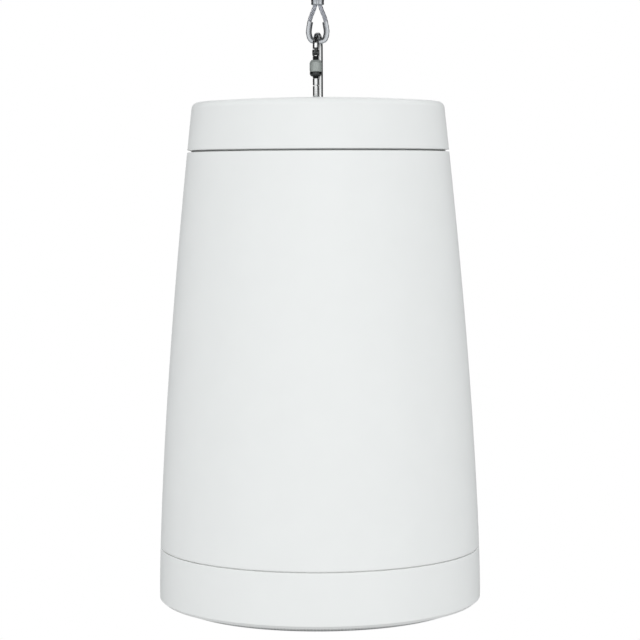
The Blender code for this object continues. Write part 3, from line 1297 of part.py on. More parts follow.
def make_transformer(cabinet, steel, copper):
    """A laminated core with two windows, and the coil round its middle leg."""
    top = PLATE_TOP
    low = top - CORE_HEIGHT
    core_bm = box(CORE_WIDTH / 2, CORE_DEPTH / 2, low, top)
    core = in_cabinet("transformer_core", core_bm, steel, cabinet, 0, PANEL_Y)
    window_low = low + CORE_LEG
    window_top = top - CORE_LEG
    window_half = (CORE_WIDTH / 2 - 2 * CORE_LEG) / 2
    window_x = CORE_LEG + window_half
    for side, name in ((-1, "left"), (1, "right")):
        window = box(window_half, CORE_DEPTH, window_low, window_top)
        cut(core, in_cabinet(f"core_window_{name}", window, None, cabinet, side * window_x, PANEL_Y))
    coil_low = window_low + COIL_GAP
    coil_top = window_top - COIL_GAP
    half_x = CORE_LEG + 2 * window_half - COIL_GAP
    half_y = CORE_DEPTH / 2 + COIL_OVERHANG
    coil_bm = prism(rounded_rectangle(half_x, half_y, 0.003), coil_low, coil_top)
    coil = in_cabinet("transformer_coil", coil_bm, copper, cabinet, 0, PANEL_Y)
    leg = box(CORE_LEG + COIL_GAP, CORE_DEPTH / 2 + COIL_GAP, coil_low - 0.001, coil_top + 0.001)
    cut(coil, in_cabinet("coil_bore", leg, None, cabinet, 0, PANEL_Y))


def make_crossover(cabinet, board_material, copper, can):
    """A board staked under the top plate, with a choke and two capacitors hanging from it."""
    top = PLATE_UNDER - BOARD_DROP
    under = top - BOARD_THICKNESS
    outline = rounded_rectangle(BOARD_WIDTH / 2, BOARD_DEPTH / 2, 0.002, 2)
    board = in_cabinet("crossover_board", prism(outline, under, top), board_material, cabinet, 0, BOARD_Y)
    for side, name in ((-1, "left"), (1, "right")):
        hole = rod(STAKE_RADIUS + SEAT, under - 0.001, top + 0.001, 10)
        cut(board, in_cabinet(f"stake_hole_{name}", hole, None, cabinet, side * STAKE_X, BOARD_Y))
    part_top = under - SEAT
    low = part_top - INDUCTOR_HEIGHT
    choke = turned(
        [
            (INDUCTOR_BORE, low),
            (INDUCTOR_RADIUS - 0.002, low),
            (INDUCTOR_RADIUS, low + 0.002),
            (INDUCTOR_RADIUS, part_top - 0.002),
            (INDUCTOR_RADIUS - 0.002, part_top),
            (INDUCTOR_BORE, part_top),
        ],
        20,
    )
    in_cabinet("inductor", choke, copper, cabinet, 0, BOARD_Y)
    for side, name in ((-1, "left"), (1, "right")):
        low = part_top - CAPACITOR_HEIGHT
        can_bm = turned(
            [
                (CAPACITOR_RADIUS, part_top),
                (CAPACITOR_RADIUS, low + 0.001),
                (CAPACITOR_RADIUS - 0.001, low),
            ],
            16,
            closed=False,
        )
        y = BOARD_Y + CAPACITOR_RADIUS + 0.004
        in_cabinet(f"capacitor_{name}", can_bm, can, cabinet, side * CAPACITOR_X, y)


def make_wadding(cabinet, cloth):
    """A wrap of wadding against the inside of the shell."""
    outside = [(outer_radius(h) - BODY_WALL - WADDING_GAP, h) for h in levels(WADDING_BOTTOM, WADDING_TOP, 3)]
    inside = [(r - WADDING_THICKNESS, h) for r, h in outside]
    in_cabinet("damping_wadding", turned(outside + inside[::-1], 24), cloth, cabinet)


def clear_scene():
    for obj in list(bpy.data.objects):
        bpy.data.objects.remove(obj)


def main():
    clear_scene()
    shell = surface("white moulding", WHITE_SHELL, 0.42)
    painted = surface("white painted steel", WHITE_METAL, 0.45)
    polished = surface("polished steel", STEEL, 0.18, 1.0)
    knurled = surface("knurled steel", STEEL, 0.38, 1.0)
    zinc = surface("zinc-plated steel", ZINC, 0.35, 1.0)
    dark_steel = surface("blackened steel", DARK_STEEL, 0.5, 1.0)
    black = surface("black plastic", BLACK, 0.5)
    rubber = surface("black rubber", RUBBER, 0.8)
    paper = surface("cone paper", PAPER, 0.85)
    copper = surface("enamelled copper", COPPER, 0.35, 1.0)
    green = surface("circuit board", BOARD_GREEN, 0.5)
    amber = surface("spider cloth", AMBER, 0.9)
    aluminium = surface("aluminium", ALUMINIUM, 0.3, 1.0)
    wadding = surface("polyester wadding", WADDING, 0.95)

    make_ceiling_fitting(zinc, dark_steel)
    make_rope(zinc)
    make_ferrule(aluminium)
    make_thimble(zinc)
    make_carabiner(polished, dark_steel, knurled)

    cabinet = pivot("cabinet_pivot", (0, 0, LOW_BOW_Z))
    make_lifting_eye(cabinet, polished, zinc)
    make_cap(cabinet, shell, rubber, dark_steel)
    make_enclosure(cabinet, shell)
    make_bezel(cabinet, shell, dark_steel)
    make_grille(cabinet, painted)
    make_baffle(cabinet, black, rubber)
    make_ports(cabinet, black)
    make_basket(cabinet, dark_steel, dark_steel)
    make_cone(cabinet, paper, aluminium)
    make_suspension(cabinet, rubber, amber)
    back_top = make_motor(cabinet, zinc, rubber)
    make_tweeter(cabinet, black, aluminium, back_top)
    make_panel(cabinet, black, dark_steel)
    make_terminals(cabinet, black, aluminium)
    make_tap_switch(cabinet, black, aluminium)
    make_transformer(cabinet, dark_steel, copper)
    make_crossover(cabinet, green, copper, aluminium)
    make_wadding(cabinet, wadding)


main()
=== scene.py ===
"""The looks of the compact pendant loudspeaker: finishes, wire rope, fine perforation and smooth shells.

Metres, +Z up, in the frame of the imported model: the origin is the middle of the ceiling
fitting's top face. Heights inside the cabinet are counted up from the bezel's rim.
"""

import json
import math

import bmesh
import bpy
from mathutils import Matrix, Vector


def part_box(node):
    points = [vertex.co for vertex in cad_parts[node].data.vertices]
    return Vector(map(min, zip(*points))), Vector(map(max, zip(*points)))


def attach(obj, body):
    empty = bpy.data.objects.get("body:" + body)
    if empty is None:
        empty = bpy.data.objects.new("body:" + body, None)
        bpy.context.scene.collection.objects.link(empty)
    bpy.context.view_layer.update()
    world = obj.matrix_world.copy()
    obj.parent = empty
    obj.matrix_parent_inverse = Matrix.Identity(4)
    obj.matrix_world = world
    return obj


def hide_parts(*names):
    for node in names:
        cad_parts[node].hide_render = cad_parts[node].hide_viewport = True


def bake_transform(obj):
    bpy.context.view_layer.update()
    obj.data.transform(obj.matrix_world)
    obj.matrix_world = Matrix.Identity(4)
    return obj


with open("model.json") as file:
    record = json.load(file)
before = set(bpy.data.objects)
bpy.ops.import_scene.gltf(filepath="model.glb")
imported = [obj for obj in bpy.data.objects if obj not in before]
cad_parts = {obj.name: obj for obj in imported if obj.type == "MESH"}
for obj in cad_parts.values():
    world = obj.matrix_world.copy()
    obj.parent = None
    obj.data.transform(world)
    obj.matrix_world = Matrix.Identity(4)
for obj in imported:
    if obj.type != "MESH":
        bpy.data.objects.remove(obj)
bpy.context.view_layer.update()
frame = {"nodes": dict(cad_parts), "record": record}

# Clearance between seated pieces
SEAT = 0.0003

# Hanging hardware
FITTING_HEIGHT = 0.018
FITTING_BORE_DEPTH = 0.012
ROPE_RADIUS = 0.0016
BIGHT_Z = -0.095
LOOP_HALF_WIDTH = 0.0070
LOOP_SHAPE = ((0.429, 0.864), (0.743, 0.662), (0.929, 0.460), (1.0, 0.221), (0.757, 0.055))
LEG_OFFSET = 0.0018
FERRULE_BOTTOM = 0.0272
FERRULE_LENGTH = 0.012
FERRULE_RADIUS = 0.003
THIMBLE_WALL = 0.0008
THIMBLE_FLANGE = 0.0013
THIMBLE_TIP = 0.0155
WIRE_RADIUS = 0.00225
BOW_RADIUS = 0.0095
TOP_BOW_Z = -0.08975
LOW_BOW_Z = -0.14325
HINGE_Z = -0.10325
CARABINER_TURN = math.radians(9.0)
GATE_RADIUS = 0.0023
GATE_LENGTH = 0.024
TONGUE_THICKNESS = 0.0018
TONGUE_RADIUS = 0.0019
RIVET_RADIUS = 0.0008
SLIDE_GAP = 0.0005
SLEEVE_RADIUS = 0.0046
SLEEVE_LENGTH = 0.0120
SLEEVE_DROP = 0.0054
EYE_WIRE_RADIUS = 0.0025
EYE_RING_RADIUS = 0.0085
EYE_Z = -0.1467
EYE_STANDOFF = 0.0182

# Cabinet
RIM_Z = -0.5102
BASE_RADIUS = 0.120
SEAM_RADIUS = 0.0971
STRAIGHT_HEIGHT = 0.0081
TAPER_POWER = 1.5
BEZEL_HEIGHT = 0.0406
BODY_BOTTOM = 0.0414
SHOULDER = 0.3341
PLATE_TOP = 0.345
PLATE_UNDER = 0.341
CAP_BOTTOM = 0.3356
CAP_RIM = 0.3709
CAP_WALL = 0.003
CAP_FILLET = 0.0051
CAP_CROWN = 0.0031
CAP_OPENING = 0.017
CAP_LIP_DEPTH = 0.006
BODY_WALL = 0.004
BODY_FLANGE_RADIUS = 0.100
BODY_FLANGE = 0.004
BEZEL_WALL = 0.003
BEZEL_FILLET = 0.0024
BEZEL_LIFT = 0.0007
CAP_SCREW_CIRCLE = 0.080
CAP_SCREW_ANGLES = (90.0, 210.0, 330.0)
CAP_SCREW_SINK = 0.0045
SCREW_HEAD_RADIUS = 0.0037
GROMMET_Y = 0.050
GROMMET_NECK = 0.0075
GRILLE_DEPTH = 0.0037
GRILLE_RADIUS = 0.108
GRILLE_EDGE = 0.003
GRILLE_SKIRT = 0.008
GRILLE_SEAT = 0.1085
LEDGE_UNDER = 0.0083
LEDGE_TOP = 0.0113
LEDGE_WIDTH = 0.003

# Looks
SHELL_SEGMENTS = 160
HOLE_PITCH = 0.0027
HOLE_SHARE = 0.60
STRAND_COUNT = 6
STRAND_LAY = 0.021
BAND_HEIGHT = 0.0034
THREAD_PITCH = 0.0008
THREAD_ROOT = 0.0020
THREAD_TOP = -0.0027
THREAD_BOTTOM = -0.0187
# Height and reach of the painted shade on the frame at the hinge
HINGE_PAINTED_SHADE = 0.0038
HINGE_REACH = 0.003
BUMP_DEPTH = 0.0002
ROPE_STEP = 0.00055
THIMBLE_STEP = 0.0008
FERRULE_PRESS = 0.00016
FERRULE_WAIST = 0.2
FERRULE_WAIST_REACH = 0.001
KNURL_RIDGES = 30
KNURL_DEPTH = 0.00022
BEZEL_SOFT = 0.0007
BEZEL_EDGE_RISE = 0.0003
BEZEL_CHAMFER = 0.0031
BEZEL_LIP = 0.0019
BEZEL_POST_CIRCLE = 0.106
BEZEL_POST_RADIUS = 0.0055
BEZEL_POST_ANGLES = (45, 135, 225, 315)
GRILLE_SHEET = 0.0008
GRILLE_FACETS = 280
EDGE_BANDS = (0.0, 0.24, 0.66, 1.0)
EDGE_HOLE = ((-0.38, -0.4), (0.38, -0.4), (0.38, 0.4), (-0.38, 0.4))
CLOTH_GAP = 0.0011
CLOTH_THICKNESS = 0.0002
SPIDER_NECK = 0.0195
SPIDER_WAVED = 0.92
SPIDER_WAVES = 4
SPIDER_WAVE_HEIGHT = 0.0011
SPIDER_DROP = 0.0014
SPIDER_THICKNESS = 0.0008
ROLL_MIDDLE = 0.00525
ROLL_RADIUS = 0.00475
ROLL_THICKNESS = 0.001
ROLL_GLUE = 0.003

# Camera
CAMERA_DISTANCE = 1.5835
CAMERA_HEIGHT = 0.31486
AIM_HEIGHT = 0.20928
AIM_X = 0.0008
CAMERA_ROLL = math.radians(-0.24)
LENS = 119.66

# Light and room
OBJECT_MIDDLE = (0, 0, -0.32)
LAMP_PLACE = (0.10, -2.4, 0.65)
LAMP_SIZE = (1.5, 1.5)
LAMP_POWER = 8.6
FLAG_DISTANCE = 1.3
FLAG_FOOT = -1.3
FLAG_TOP = 0.9
BOARD_PLACE = (0, -0.25, 0.75)
BOARD_REACH = 1.0
SHADE_PLACE = (0, 0, 0.8)
SHADE_REACH = 0.42
ROOM_COLOUR = (0.96, 0.98, 1.0, 1)
ROOM_STRENGTH = 1.09
FLOOR_DROP = 2.4
FLOOR_RADIUS = 24


# Camera, lights and floor


def make_camera():
    data = bpy.data.cameras.new("camera")
    data.lens = LENS
    data.sensor_width = 36
    camera = bpy.data.objects.new("camera", data)
    bpy.context.scene.collection.objects.link(camera)
    camera.location = (AIM_X, -CAMERA_DISTANCE, RIM_Z + CAMERA_HEIGHT)
    aim = Vector((AIM_X, 0, RIM_Z + AIM_HEIGHT)) - camera.location
    camera.rotation_euler = aim.to_track_quat("-Z", "Y").to_euler()
    camera.rotation_euler.rotate_axis("Z", CAMERA_ROLL)
    bpy.context.scene.camera = camera


def lamp(name, place, target, size, power):
    data = bpy.data.lights.new(name, "AREA")
    data.shape = "RECTANGLE"
    data.size, data.size_y = size
    data.energy = power
    made = bpy.data.objects.new(name, data)
    bpy.context.scene.collection.objects.link(made)
    made.location = place
    aim = Vector(target) - Vector(place)
    made.rotation_euler = aim.to_track_quat("-Z", "Y").to_euler()
    made.visible_camera = False


def make_lights():
    lamp("front_box", LAMP_PLACE, OBJECT_MIDDLE, LAMP_SIZE, LAMP_POWER)
    for side in (-1, 1):
        make_flag(side)
    make_ceiling_boards()


def make_flag(side):
    """A dark board behind the object on one side, for the dark lines in polished metal."""
    bm = bmesh.new()
    rows = []
    for degrees in range(-30, 76, 5):
        angle = math.radians(degrees)
        x, y = side * FLAG_DISTANCE * math.cos(angle), FLAG_DISTANCE * math.sin(angle)
        rows.append([bm.verts.new((x, y, z)) for z in (FLAG_FOOT, FLAG_TOP)])
    for (a, b), (c, d) in zip(rows, rows[1:]):
        bm.faces.new((a, b, d, c))
    hang_board("flag_left" if side < 0 else "flag_right", bm)


def flat_board(name, reach, place):
    bm = bmesh.new()
    bmesh.ops.create_grid(bm, x_segments=1, y_segments=1, size=reach)
    board = hang_board(name, bm)
    board.location = place
    return board


def make_ceiling_boards():
    """A dark board overhead for the dark tops of the bright bows, and a small one that shades the crown."""
    flat_board("board_above", BOARD_REACH, BOARD_PLACE)
    shade = flat_board("crown_shade", SHADE_REACH, SHADE_PLACE)
    shade.visible_diffuse = True
    shade.visible_shadow = True
    shade.visible_glossy = False


def hang_board(name, bm):
    """A dark board that only mirrored rays see, until its visibility is changed."""
    mesh = bpy.data.meshes.new(name)
    bm.to_mesh(mesh)
    bm.free()
    flag = bpy.data.objects.new(name, mesh)
    bpy.context.scene.collection.objects.link(flag)
    material = bpy.data.materials.new("dark board")
    material.use_nodes = True
    shader = material.node_tree.nodes["Principled BSDF"]
    shader.inputs["Base Color"].default_value = (0.03, 0.03, 0.03, 1)
    shader.inputs["Roughness"].default_value = 1.0
    mesh.materials.append(material)
    flag.visible_camera = False
    flag.visible_diffuse = False
    flag.visible_shadow = False
    return flag


def seen_rays(tree):
    """1 for a ray from the camera, or for one mirrored or refracted on its way to it."""
    path = tree.nodes.new("ShaderNodeLightPath")
    both = tree.nodes.new("ShaderNodeMath")
    both.operation = "MAXIMUM"
    tree.links.new(path.outputs["Is Camera Ray"], both.inputs[0])
    tree.links.new(path.outputs["Is Glossy Ray"], both.inputs[1])
    every = tree.nodes.new("ShaderNodeMath")
    every.operation = "MAXIMUM"
    tree.links.new(both.outputs[0], every.inputs[0])
    tree.links.new(path.outputs["Is Transmission Ray"], every.inputs[1])
    return every.outputs[0]


def make_world():
    world = bpy.data.worlds.new("studio")
    bpy.context.scene.world = world
    world.use_nodes = True
    tree = world.node_tree
    room = tree.nodes["Background"]
    room.inputs["Color"].default_value = ROOM_COLOUR
    room.inputs["Strength"].default_value = ROOM_STRENGTH
    white = tree.nodes.new("ShaderNodeBackground")
    white.inputs["Color"].default_value = (1, 1, 1, 1)
    white.inputs["Strength"].default_value = 1.0
    mix = tree.nodes.new("ShaderNodeMixShader")
    tree.links.new(seen_rays(tree), mix.inputs["Fac"])
    tree.links.new(room.outputs[0], mix.inputs[1])
    tree.links.new(white.outputs[0], mix.inputs[2])
    tree.links.new(mix.outputs[0], tree.nodes["World Output"].inputs["Surface"])


def make_floor():
    bm = bmesh.new()
    bmesh.ops.create_circle(bm, cap_ends=True, radius=FLOOR_RADIUS, segments=64)
    mesh = bpy.data.meshes.new("floor")
    bm.to_mesh(mesh)
    bm.free()
    floor = bpy.data.objects.new("floor", mesh)
    bpy.context.scene.collection.objects.link(floor)
    floor.location = (0, 0, RIM_Z - FLOOR_DROP)
    material = bpy.data.materials.new("pale floor")
    material.use_nodes = True
    tree = material.node_tree
    shader = tree.nodes["Principled BSDF"]
    shader.inputs["Base Color"].default_value = (0.5, 0.5, 0.5, 1)
    shader.inputs["Roughness"].default_value = 0.9
    glow = tree.nodes.new("ShaderNodeEmission")
    glow.inputs["Color"].default_value = (1, 1, 1, 1)
    mix = tree.nodes.new("ShaderNodeMixShader")
    tree.links.new(seen_rays(tree), mix.inputs["Fac"])
    tree.links.new(shader.outputs[0], mix.inputs[1])
    tree.links.new(glow.outputs[0], mix.inputs[2])
    tree.links.new(mix.outputs[0], tree.nodes["Material Output"].inputs["Surface"])
    mesh.materials.append(material)


# Materials


def surface(name, colour, roughness, metallic=0.0, grain=900.0, bump=0.05, mottle=0.03, gloss=0.08):
    """A Principled finish whose colour, roughness and surface vary finely, by noise in metres."""
    material = bpy.data.materials.new(name)
    material.use_nodes = True
    tree = material.node_tree
    shader = tree.nodes["Principled BSDF"]
    shader.inputs["Metallic"].default_value = metallic
    if metallic == 0.0:
        shader.inputs["Specular IOR Level"].default_value = 0.35
    place = tree.nodes.new("ShaderNodeTexCoord")
    broad = tree.nodes.new("ShaderNodeTexNoise")
    broad.inputs["Scale"].default_value = grain / 30
    broad.inputs["Detail"].default_value = 4
    tree.links.new(place.outputs["Object"], broad.inputs["Vector"])
    ramp = tree.nodes.new("ShaderNodeValToRGB")
    ramp.color_ramp.elements[0].position = 0.3
    ramp.color_ramp.elements[1].position = 0.7
    ramp.color_ramp.elements[0].color = (*[c * (1 - mottle) for c in colour], 1)
    ramp.color_ramp.elements[1].color = (*[min(1, c * (1 + mottle)) for c in colour], 1)
    tree.links.new(broad.outputs["Fac"], ramp.inputs["Fac"])
    tree.links.new(ramp.outputs["Color"], shader.inputs["Base Color"])
    rough = tree.nodes.new("ShaderNodeMapRange")
    rough.inputs["To Min"].default_value = roughness * (1 - gloss)
    rough.inputs["To Max"].default_value = roughness * (1 + gloss)
    tree.links.new(broad.outputs["Fac"], rough.inputs["Value"])
    tree.links.new(rough.outputs["Result"], shader.inputs["Roughness"])
    fine = tree.nodes.new("ShaderNodeTexNoise")
    fine.inputs["Scale"].default_value = grain
    fine.inputs["Detail"].default_value = 3
    tree.links.new(place.outputs["Object"], fine.inputs["Vector"])
    relief = tree.nodes.new("ShaderNodeBump")
    relief.inputs["Strength"].default_value = bump
    relief.inputs["Distance"].default_value = BUMP_DEPTH
    tree.links.new(fine.outputs["Fac"], relief.inputs["Height"])
    tree.links.new(relief.outputs["Normal"], shader.inputs["Normal"])
    return material


def strand_metal():
    """Galvanised wire: each strand's UV runs along and round it, and its wires twist across."""
    material = surface("galvanised wire", (0.60, 0.62, 0.67), 0.28, 1.0, grain=2500, bump=0.1, mottle=0.12)
    tree = material.node_tree
    shader = tree.nodes["Principled BSDF"]
    where = tree.nodes.new("ShaderNodeUVMap")
    lean = tree.nodes.new("ShaderNodeMapping")
    lean.inputs["Rotation"].default_value = (0, 0, math.radians(45))
    tree.links.new(where.outputs["UV"], lean.inputs["Vector"])
    wires = tree.nodes.new("ShaderNodeTexWave")
    wires.wave_type = "BANDS"
    wires.inputs["Scale"].default_value = 1.1
    wires.inputs["Distortion"].default_value = 0.0
    tree.links.new(lean.outputs["Vector"], wires.inputs["Vector"])
    relief = tree.nodes.new("ShaderNodeBump")
    relief.inputs["Strength"].default_value = 0.5
    relief.inputs["Distance"].default_value = 0.0001
    tree.links.new(wires.outputs["Fac"], relief.inputs["Height"])
    tree.links.new(relief.outputs["Normal"], shader.inputs["Normal"])
    return material


# Shapes


def arc(centre_r, centre_h, radius, start, end, steps):
    points = []
    for i in range(steps + 1):
        angle = math.radians(start + (end - start) * i / steps)
        points.append((centre_r + radius * math.cos(angle), centre_h + radius * math.sin(angle)))
    return points


def levels(bottom, top, steps):
    return [bottom + (top - bottom) * i / steps for i in range(steps + 1)]


def polygon(radius, sides, turn=0.0):
    step = math.tau / sides
    return [(radius * math.cos(turn + i * step), radius * math.sin(turn + i * step)) for i in range(sides)]


def turned(outline, segments, closed=True):
    """A solid of revolution about Z."""
    bm = bmesh.new()
    verts = [bm.verts.new((r, 0, h)) for r, h in outline]
    pairs = list(zip(verts, verts[1:]))
    if closed:
        pairs.append((verts[-1], verts[0]))
    edges = [bm.edges.new(pair) for pair in pairs]
    bmesh.ops.spin(
        bm,
        geom=verts + edges,
        axis=(0, 0, 1),
        cent=(0, 0, 0),
        angle=math.tau,
        steps=segments,
        use_merge=True,
    )
    bmesh.ops.remove_doubles(bm, verts=bm.verts, dist=1e-6)
    open_edges = [edge for edge in bm.edges if edge.is_boundary]
    if open_edges:
        bmesh.ops.holes_fill(bm, edges=open_edges, sides=0)
    return bm


def rod(radius, bottom, top, segments=32):
    return turned([(radius, bottom), (radius, top)], segments, closed=False)


def softened(outline, radius):
    """The outline with each corner cut by a small chamfer, so that edges catch the light."""
    points = []
    count = len(outline)
    for i, point in enumerate(outline):
        here = Vector(point)
        before = Vector(outline[i - 1]) - here
        after = Vector(outline[(i + 1) % count]) - here
        if before.length < 3 * radius or after.length < 3 * radius:
            points.append(point)
            continue
        points.append(tuple(here + before.normalized() * radius))
        points.append(tuple(here + (before.normalized() + after.normalized()) * radius * 0.29))
        points.append(tuple(here + after.normalized() * radius))
    return points


def prism(outline, bottom, top):
    bm = bmesh.new()
    face = bm.faces.new([bm.verts.new((x, y, bottom)) for x, y in outline])
    grown = bmesh.ops.extrude_face_region(bm, geom=[face])
    raised = [item for item in grown["geom"] if isinstance(item, bmesh.types.BMVert)]
    bmesh.ops.translate(bm, verts=raised, vec=(0, 0, top - bottom))
    return bm


def box(half_x, half_y, bottom, top):
    return prism([(half_x, -half_y), (half_x, half_y), (-half_x, half_y), (-half_x, -half_y)], bottom, top)


def tipped(bm, axis, degrees):
    turn = Matrix.Rotation(math.radians(degrees), 3, axis)
    bmesh.ops.rotate(bm, cent=(0, 0, 0), matrix=turn, verts=bm.verts)
    return bm


def bridge(bm, ring, following):
    """Faces between two closed rings with as many points each."""
    count = len(ring)
    for j in range(count):
        k = (j + 1) % count
        bm.faces.new((ring[j], ring[k], following[k], following[j]))


def swept(path, section, across, looped=False):
    """A section carried along a flat path, as (across the plane, away from the path's left side)."""
    across = Vector(across)
    bm = bmesh.new()
    rings = []
    last = len(path) - 1
    for i, point in enumerate(path):
        before = path[i - 1] if i or looped else point
        after = path[(i + 1) % len(path)] if i < last or looped else point
        tangent = (Vector(after) - Vector(before)).normalized()
        side = tangent.cross(across)
        rings.append([bm.verts.new(Vector(point) + across * a + side * b) for a, b in section])
    pairs = list(zip(rings, rings[1:]))
    if looped:
        pairs.append((rings[-1], rings[0]))
    for ring, following in pairs:
        bridge(bm, ring, following)
    if not looped:
        bm.faces.new(rings[0])
        bm.faces.new(rings[-1])
    return bm


def smooth_curve(route, step):
    """Points at an even spacing on a smooth curve through the route's own points."""
    points = [Vector(p) for p in route]
    spans = [(b - a).length for a, b in zip(points, points[1:])]
    slopes = [(points[1] - points[0]) / spans[0]]
    for i in range(1, len(points) - 1):
        before = (points[i] - points[i - 1]) / spans[i - 1]
        after = (points[i + 1] - points[i]) / spans[i]
        slopes.append((before * spans[i] + after * spans[i - 1]) / (spans[i - 1] + spans[i]))
    slopes.append((points[-1] - points[-2]) / spans[-1])
    fine = []
    parts = 24
    for i, span in enumerate(spans):
        for j in range(parts):
            t = j / parts
            fine.append(
                points[i] * (2 * t**3 - 3 * t**2 + 1)
                + slopes[i] * span * (t**3 - 2 * t**2 + t)
                + points[i + 1] * (3 * t**2 - 2 * t**3)
                + slopes[i + 1] * span * (t**3 - t**2)
            )
    fine.append(points[-1])
    lengths = [0.0]
    for a, b in zip(fine, fine[1:]):
        lengths.append(lengths[-1] + (b - a).length)
    count = max(2, round(lengths[-1] / step))
    even = []
    place = 0
    for i in range(count + 1):
        goal = lengths[-1] * i / count
        while place < len(fine) - 2 and lengths[place + 1] < goal:
            place += 1
        share = (goal - lengths[place]) / (lengths[place + 1] - lengths[place])
        even.append(fine[place].lerp(fine[place + 1], share))
    return even


# Pieces and helpers


def linked(name, bm, material=None, sharp=35):
    bmesh.ops.recalc_face_normals(bm, faces=bm.faces)
    mesh = bpy.data.meshes.new(name)
    bm.to_mesh(mesh)
    bm.free()
    mesh.shade_smooth()
    mesh.set_sharp_from_angle(angle=math.radians(sharp))
    obj = bpy.data.objects.new(name, mesh)
    bpy.context.scene.collection.objects.link(obj)
    if material:
        mesh.materials.append(material)
    return obj


def baked(obj):
    """The object with its modifiers applied and its helpers deleted."""
    bpy.context.view_layer.update()
    graph = bpy.context.evaluated_depsgraph_get()
    helpers = [modifier.object for modifier in obj.modifiers if modifier.type == "BOOLEAN"]
    mesh = bpy.data.meshes.new_from_object(obj.evaluated_get(graph))
    mesh.name = obj.name
    obj.modifiers.clear()
    obj.data = mesh
    mesh.shade_smooth()
    mesh.set_sharp_from_angle(angle=math.radians(35))
    for helper in helpers:
        bpy.data.objects.remove(helper)
    return obj


def boolean(body, tool, operation="DIFFERENCE"):
    modifier = body.modifiers.new(tool.name, "BOOLEAN")
    modifier.operation = operation
    modifier.solver = "EXACT"
    modifier.object = tool
    return tool


def dress(obj, body, material_slot, *nodes):
    """The piece rides on its body and stands for the nodes; the material slot is not used."""
    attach(obj, body)
    if nodes:
        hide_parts(*nodes)
    return obj


def outer_radius(height):
    if height <= STRAIGHT_HEIGHT:
        return BASE_RADIUS
    share = (height - STRAIGHT_HEIGHT) / (SHOULDER - STRAIGHT_HEIGHT)
    return BASE_RADIUS - (BASE_RADIUS - SEAM_RADIUS) * share**TAPER_POWER


CROWN_EDGE = outer_radius(CAP_RIM - CAP_FILLET) - CAP_FILLET


def crown_height(radius):
    return CAP_RIM + CAP_CROWN * (1 - (radius / CROWN_EDGE) ** 2)


def at_rim(obj, x=0.0, y=0.0):
    obj.location = (x, y, RIM_Z)
    return obj


def around(circle, degrees):
    angle = math.radians(degrees)
    return circle * math.cos(angle), circle * math.sin(angle)


# Rope and hardware


def rope_route():
    ferrule_foot = BIGHT_Z + FERRULE_BOTTOM
    ferrule_top = ferrule_foot + FERRULE_LENGTH
    inside_fitting = FITTING_BORE_DEPTH - FITTING_HEIGHT - SEAT
    left = [(-LOOP_HALF_WIDTH * x, 0.0, BIGHT_Z + FERRULE_BOTTOM * z) for x, z in LOOP_SHAPE]
    right = [(-x, y, z) for x, y, z in reversed(left)]
    fall = [
        (0.0, 0.0, inside_fitting),
        (0.0, 0.0, (inside_fitting - FITTING_HEIGHT) / 2),
        (0.0, 0.0, -FITTING_HEIGHT - ROPE_RADIUS * 5),
        (-LEG_OFFSET * 0.4, 0.0, ferrule_top + ROPE_RADIUS * 6.25),
        (-LEG_OFFSET, 0.0, ferrule_top),
        (-LEG_OFFSET, 0.0, ferrule_foot),
    ]
    rise = [(LEG_OFFSET, 0.0, ferrule_foot), (LEG_OFFSET, 0.0, ferrule_top - 0.001)]
    return fall + left + [(0.0, 0.0, BIGHT_Z)] + right + rise


def strand_rings(path, offset, radius, turn, lay, sides):
    """Rings of points round one strand that winds about the path."""
    travelled = 0.0
    rings = []
    for i, point in enumerate(path):
        ahead = path[min(i + 1, len(path) - 1)]
        behind = path[max(i - 1, 0)]
        tangent = (ahead - behind).normalized()
        across = Vector((0, 1, 0))
        side = tangent.cross(across)
        if i:
            travelled += (point - path[i - 1]).length
        angle = turn + math.tau * travelled / lay
        out = across * math.cos(angle) + side * math.sin(angle)
        middle = point + out * offset
        ring = []
        for j in range(sides):
            around_it = math.tau * j / sides
            ring.append(middle + (across * math.cos(around_it) + side * math.sin(around_it)) * radius)
        rings.append((ring, travelled))
    return rings


def make_rope(metal):
    """Six strands twisted round a core, with a UV along and round each for its wires."""
    path = smooth_curve(rope_route(), ROPE_STEP)
    bm = bmesh.new()
    layer = bm.loops.layers.uv.new("UVMap")
    sides = 8
    strand = ROPE_RADIUS * 0.345
    strands = [(ROPE_RADIUS - strand, strand, math.tau * n / STRAND_COUNT) for n in range(STRAND_COUNT)]
    strands.append((0.0, ROPE_RADIUS * 0.4, 0.0))
    for offset, radius, turn in strands:
        rings = strand_rings(path, offset, radius, turn, STRAND_LAY, sides)
        rows = [([bm.verts.new(p) for p in ring], travelled) for ring, travelled in rings]
        for (ring, low), (following, high) in zip(rows, rows[1:]):
            for j in range(sides):
                k = (j + 1) % sides
                face = bm.faces.new((ring[j], ring[k], following[k], following[j]))
                places = ((j, low), (j + 1, low), (j + 1, high), (j, high))
                for loop, (column, along) in zip(face.loops, places):
                    loop[layer].uv = (column / sides * 8, along / 0.0032 * 8)
        bm.faces.new(rows[0][0])
        bm.faces.new(rows[-1][0])
    rope = linked("wire_rope", bm, metal, sharp=80)
    dress(rope, "suspension", "zinc_steel", "suspension_rope")
    return rope, path


def ferrule_outline(radius):
    """An oval about the two legs, with points along its flat sides too."""
    front = [(x, radius) for x in levels(LEG_OFFSET, -LEG_OFFSET, 12)[1:-1]]
    back = [(x, -radius) for x in levels(-LEG_OFFSET, LEG_OFFSET, 12)[1:-1]]
    return arc(LEG_OFFSET, 0, radius, -90, 90, 12) + front + arc(-LEG_OFFSET, 0, radius, 90, 270, 12) + back


def waist_share(x):
    """How far out the ferrule's faces stay, as they dip between the legs."""
    return 1 - FERRULE_WAIST * math.exp(-((x / FERRULE_WAIST_REACH) ** 2))


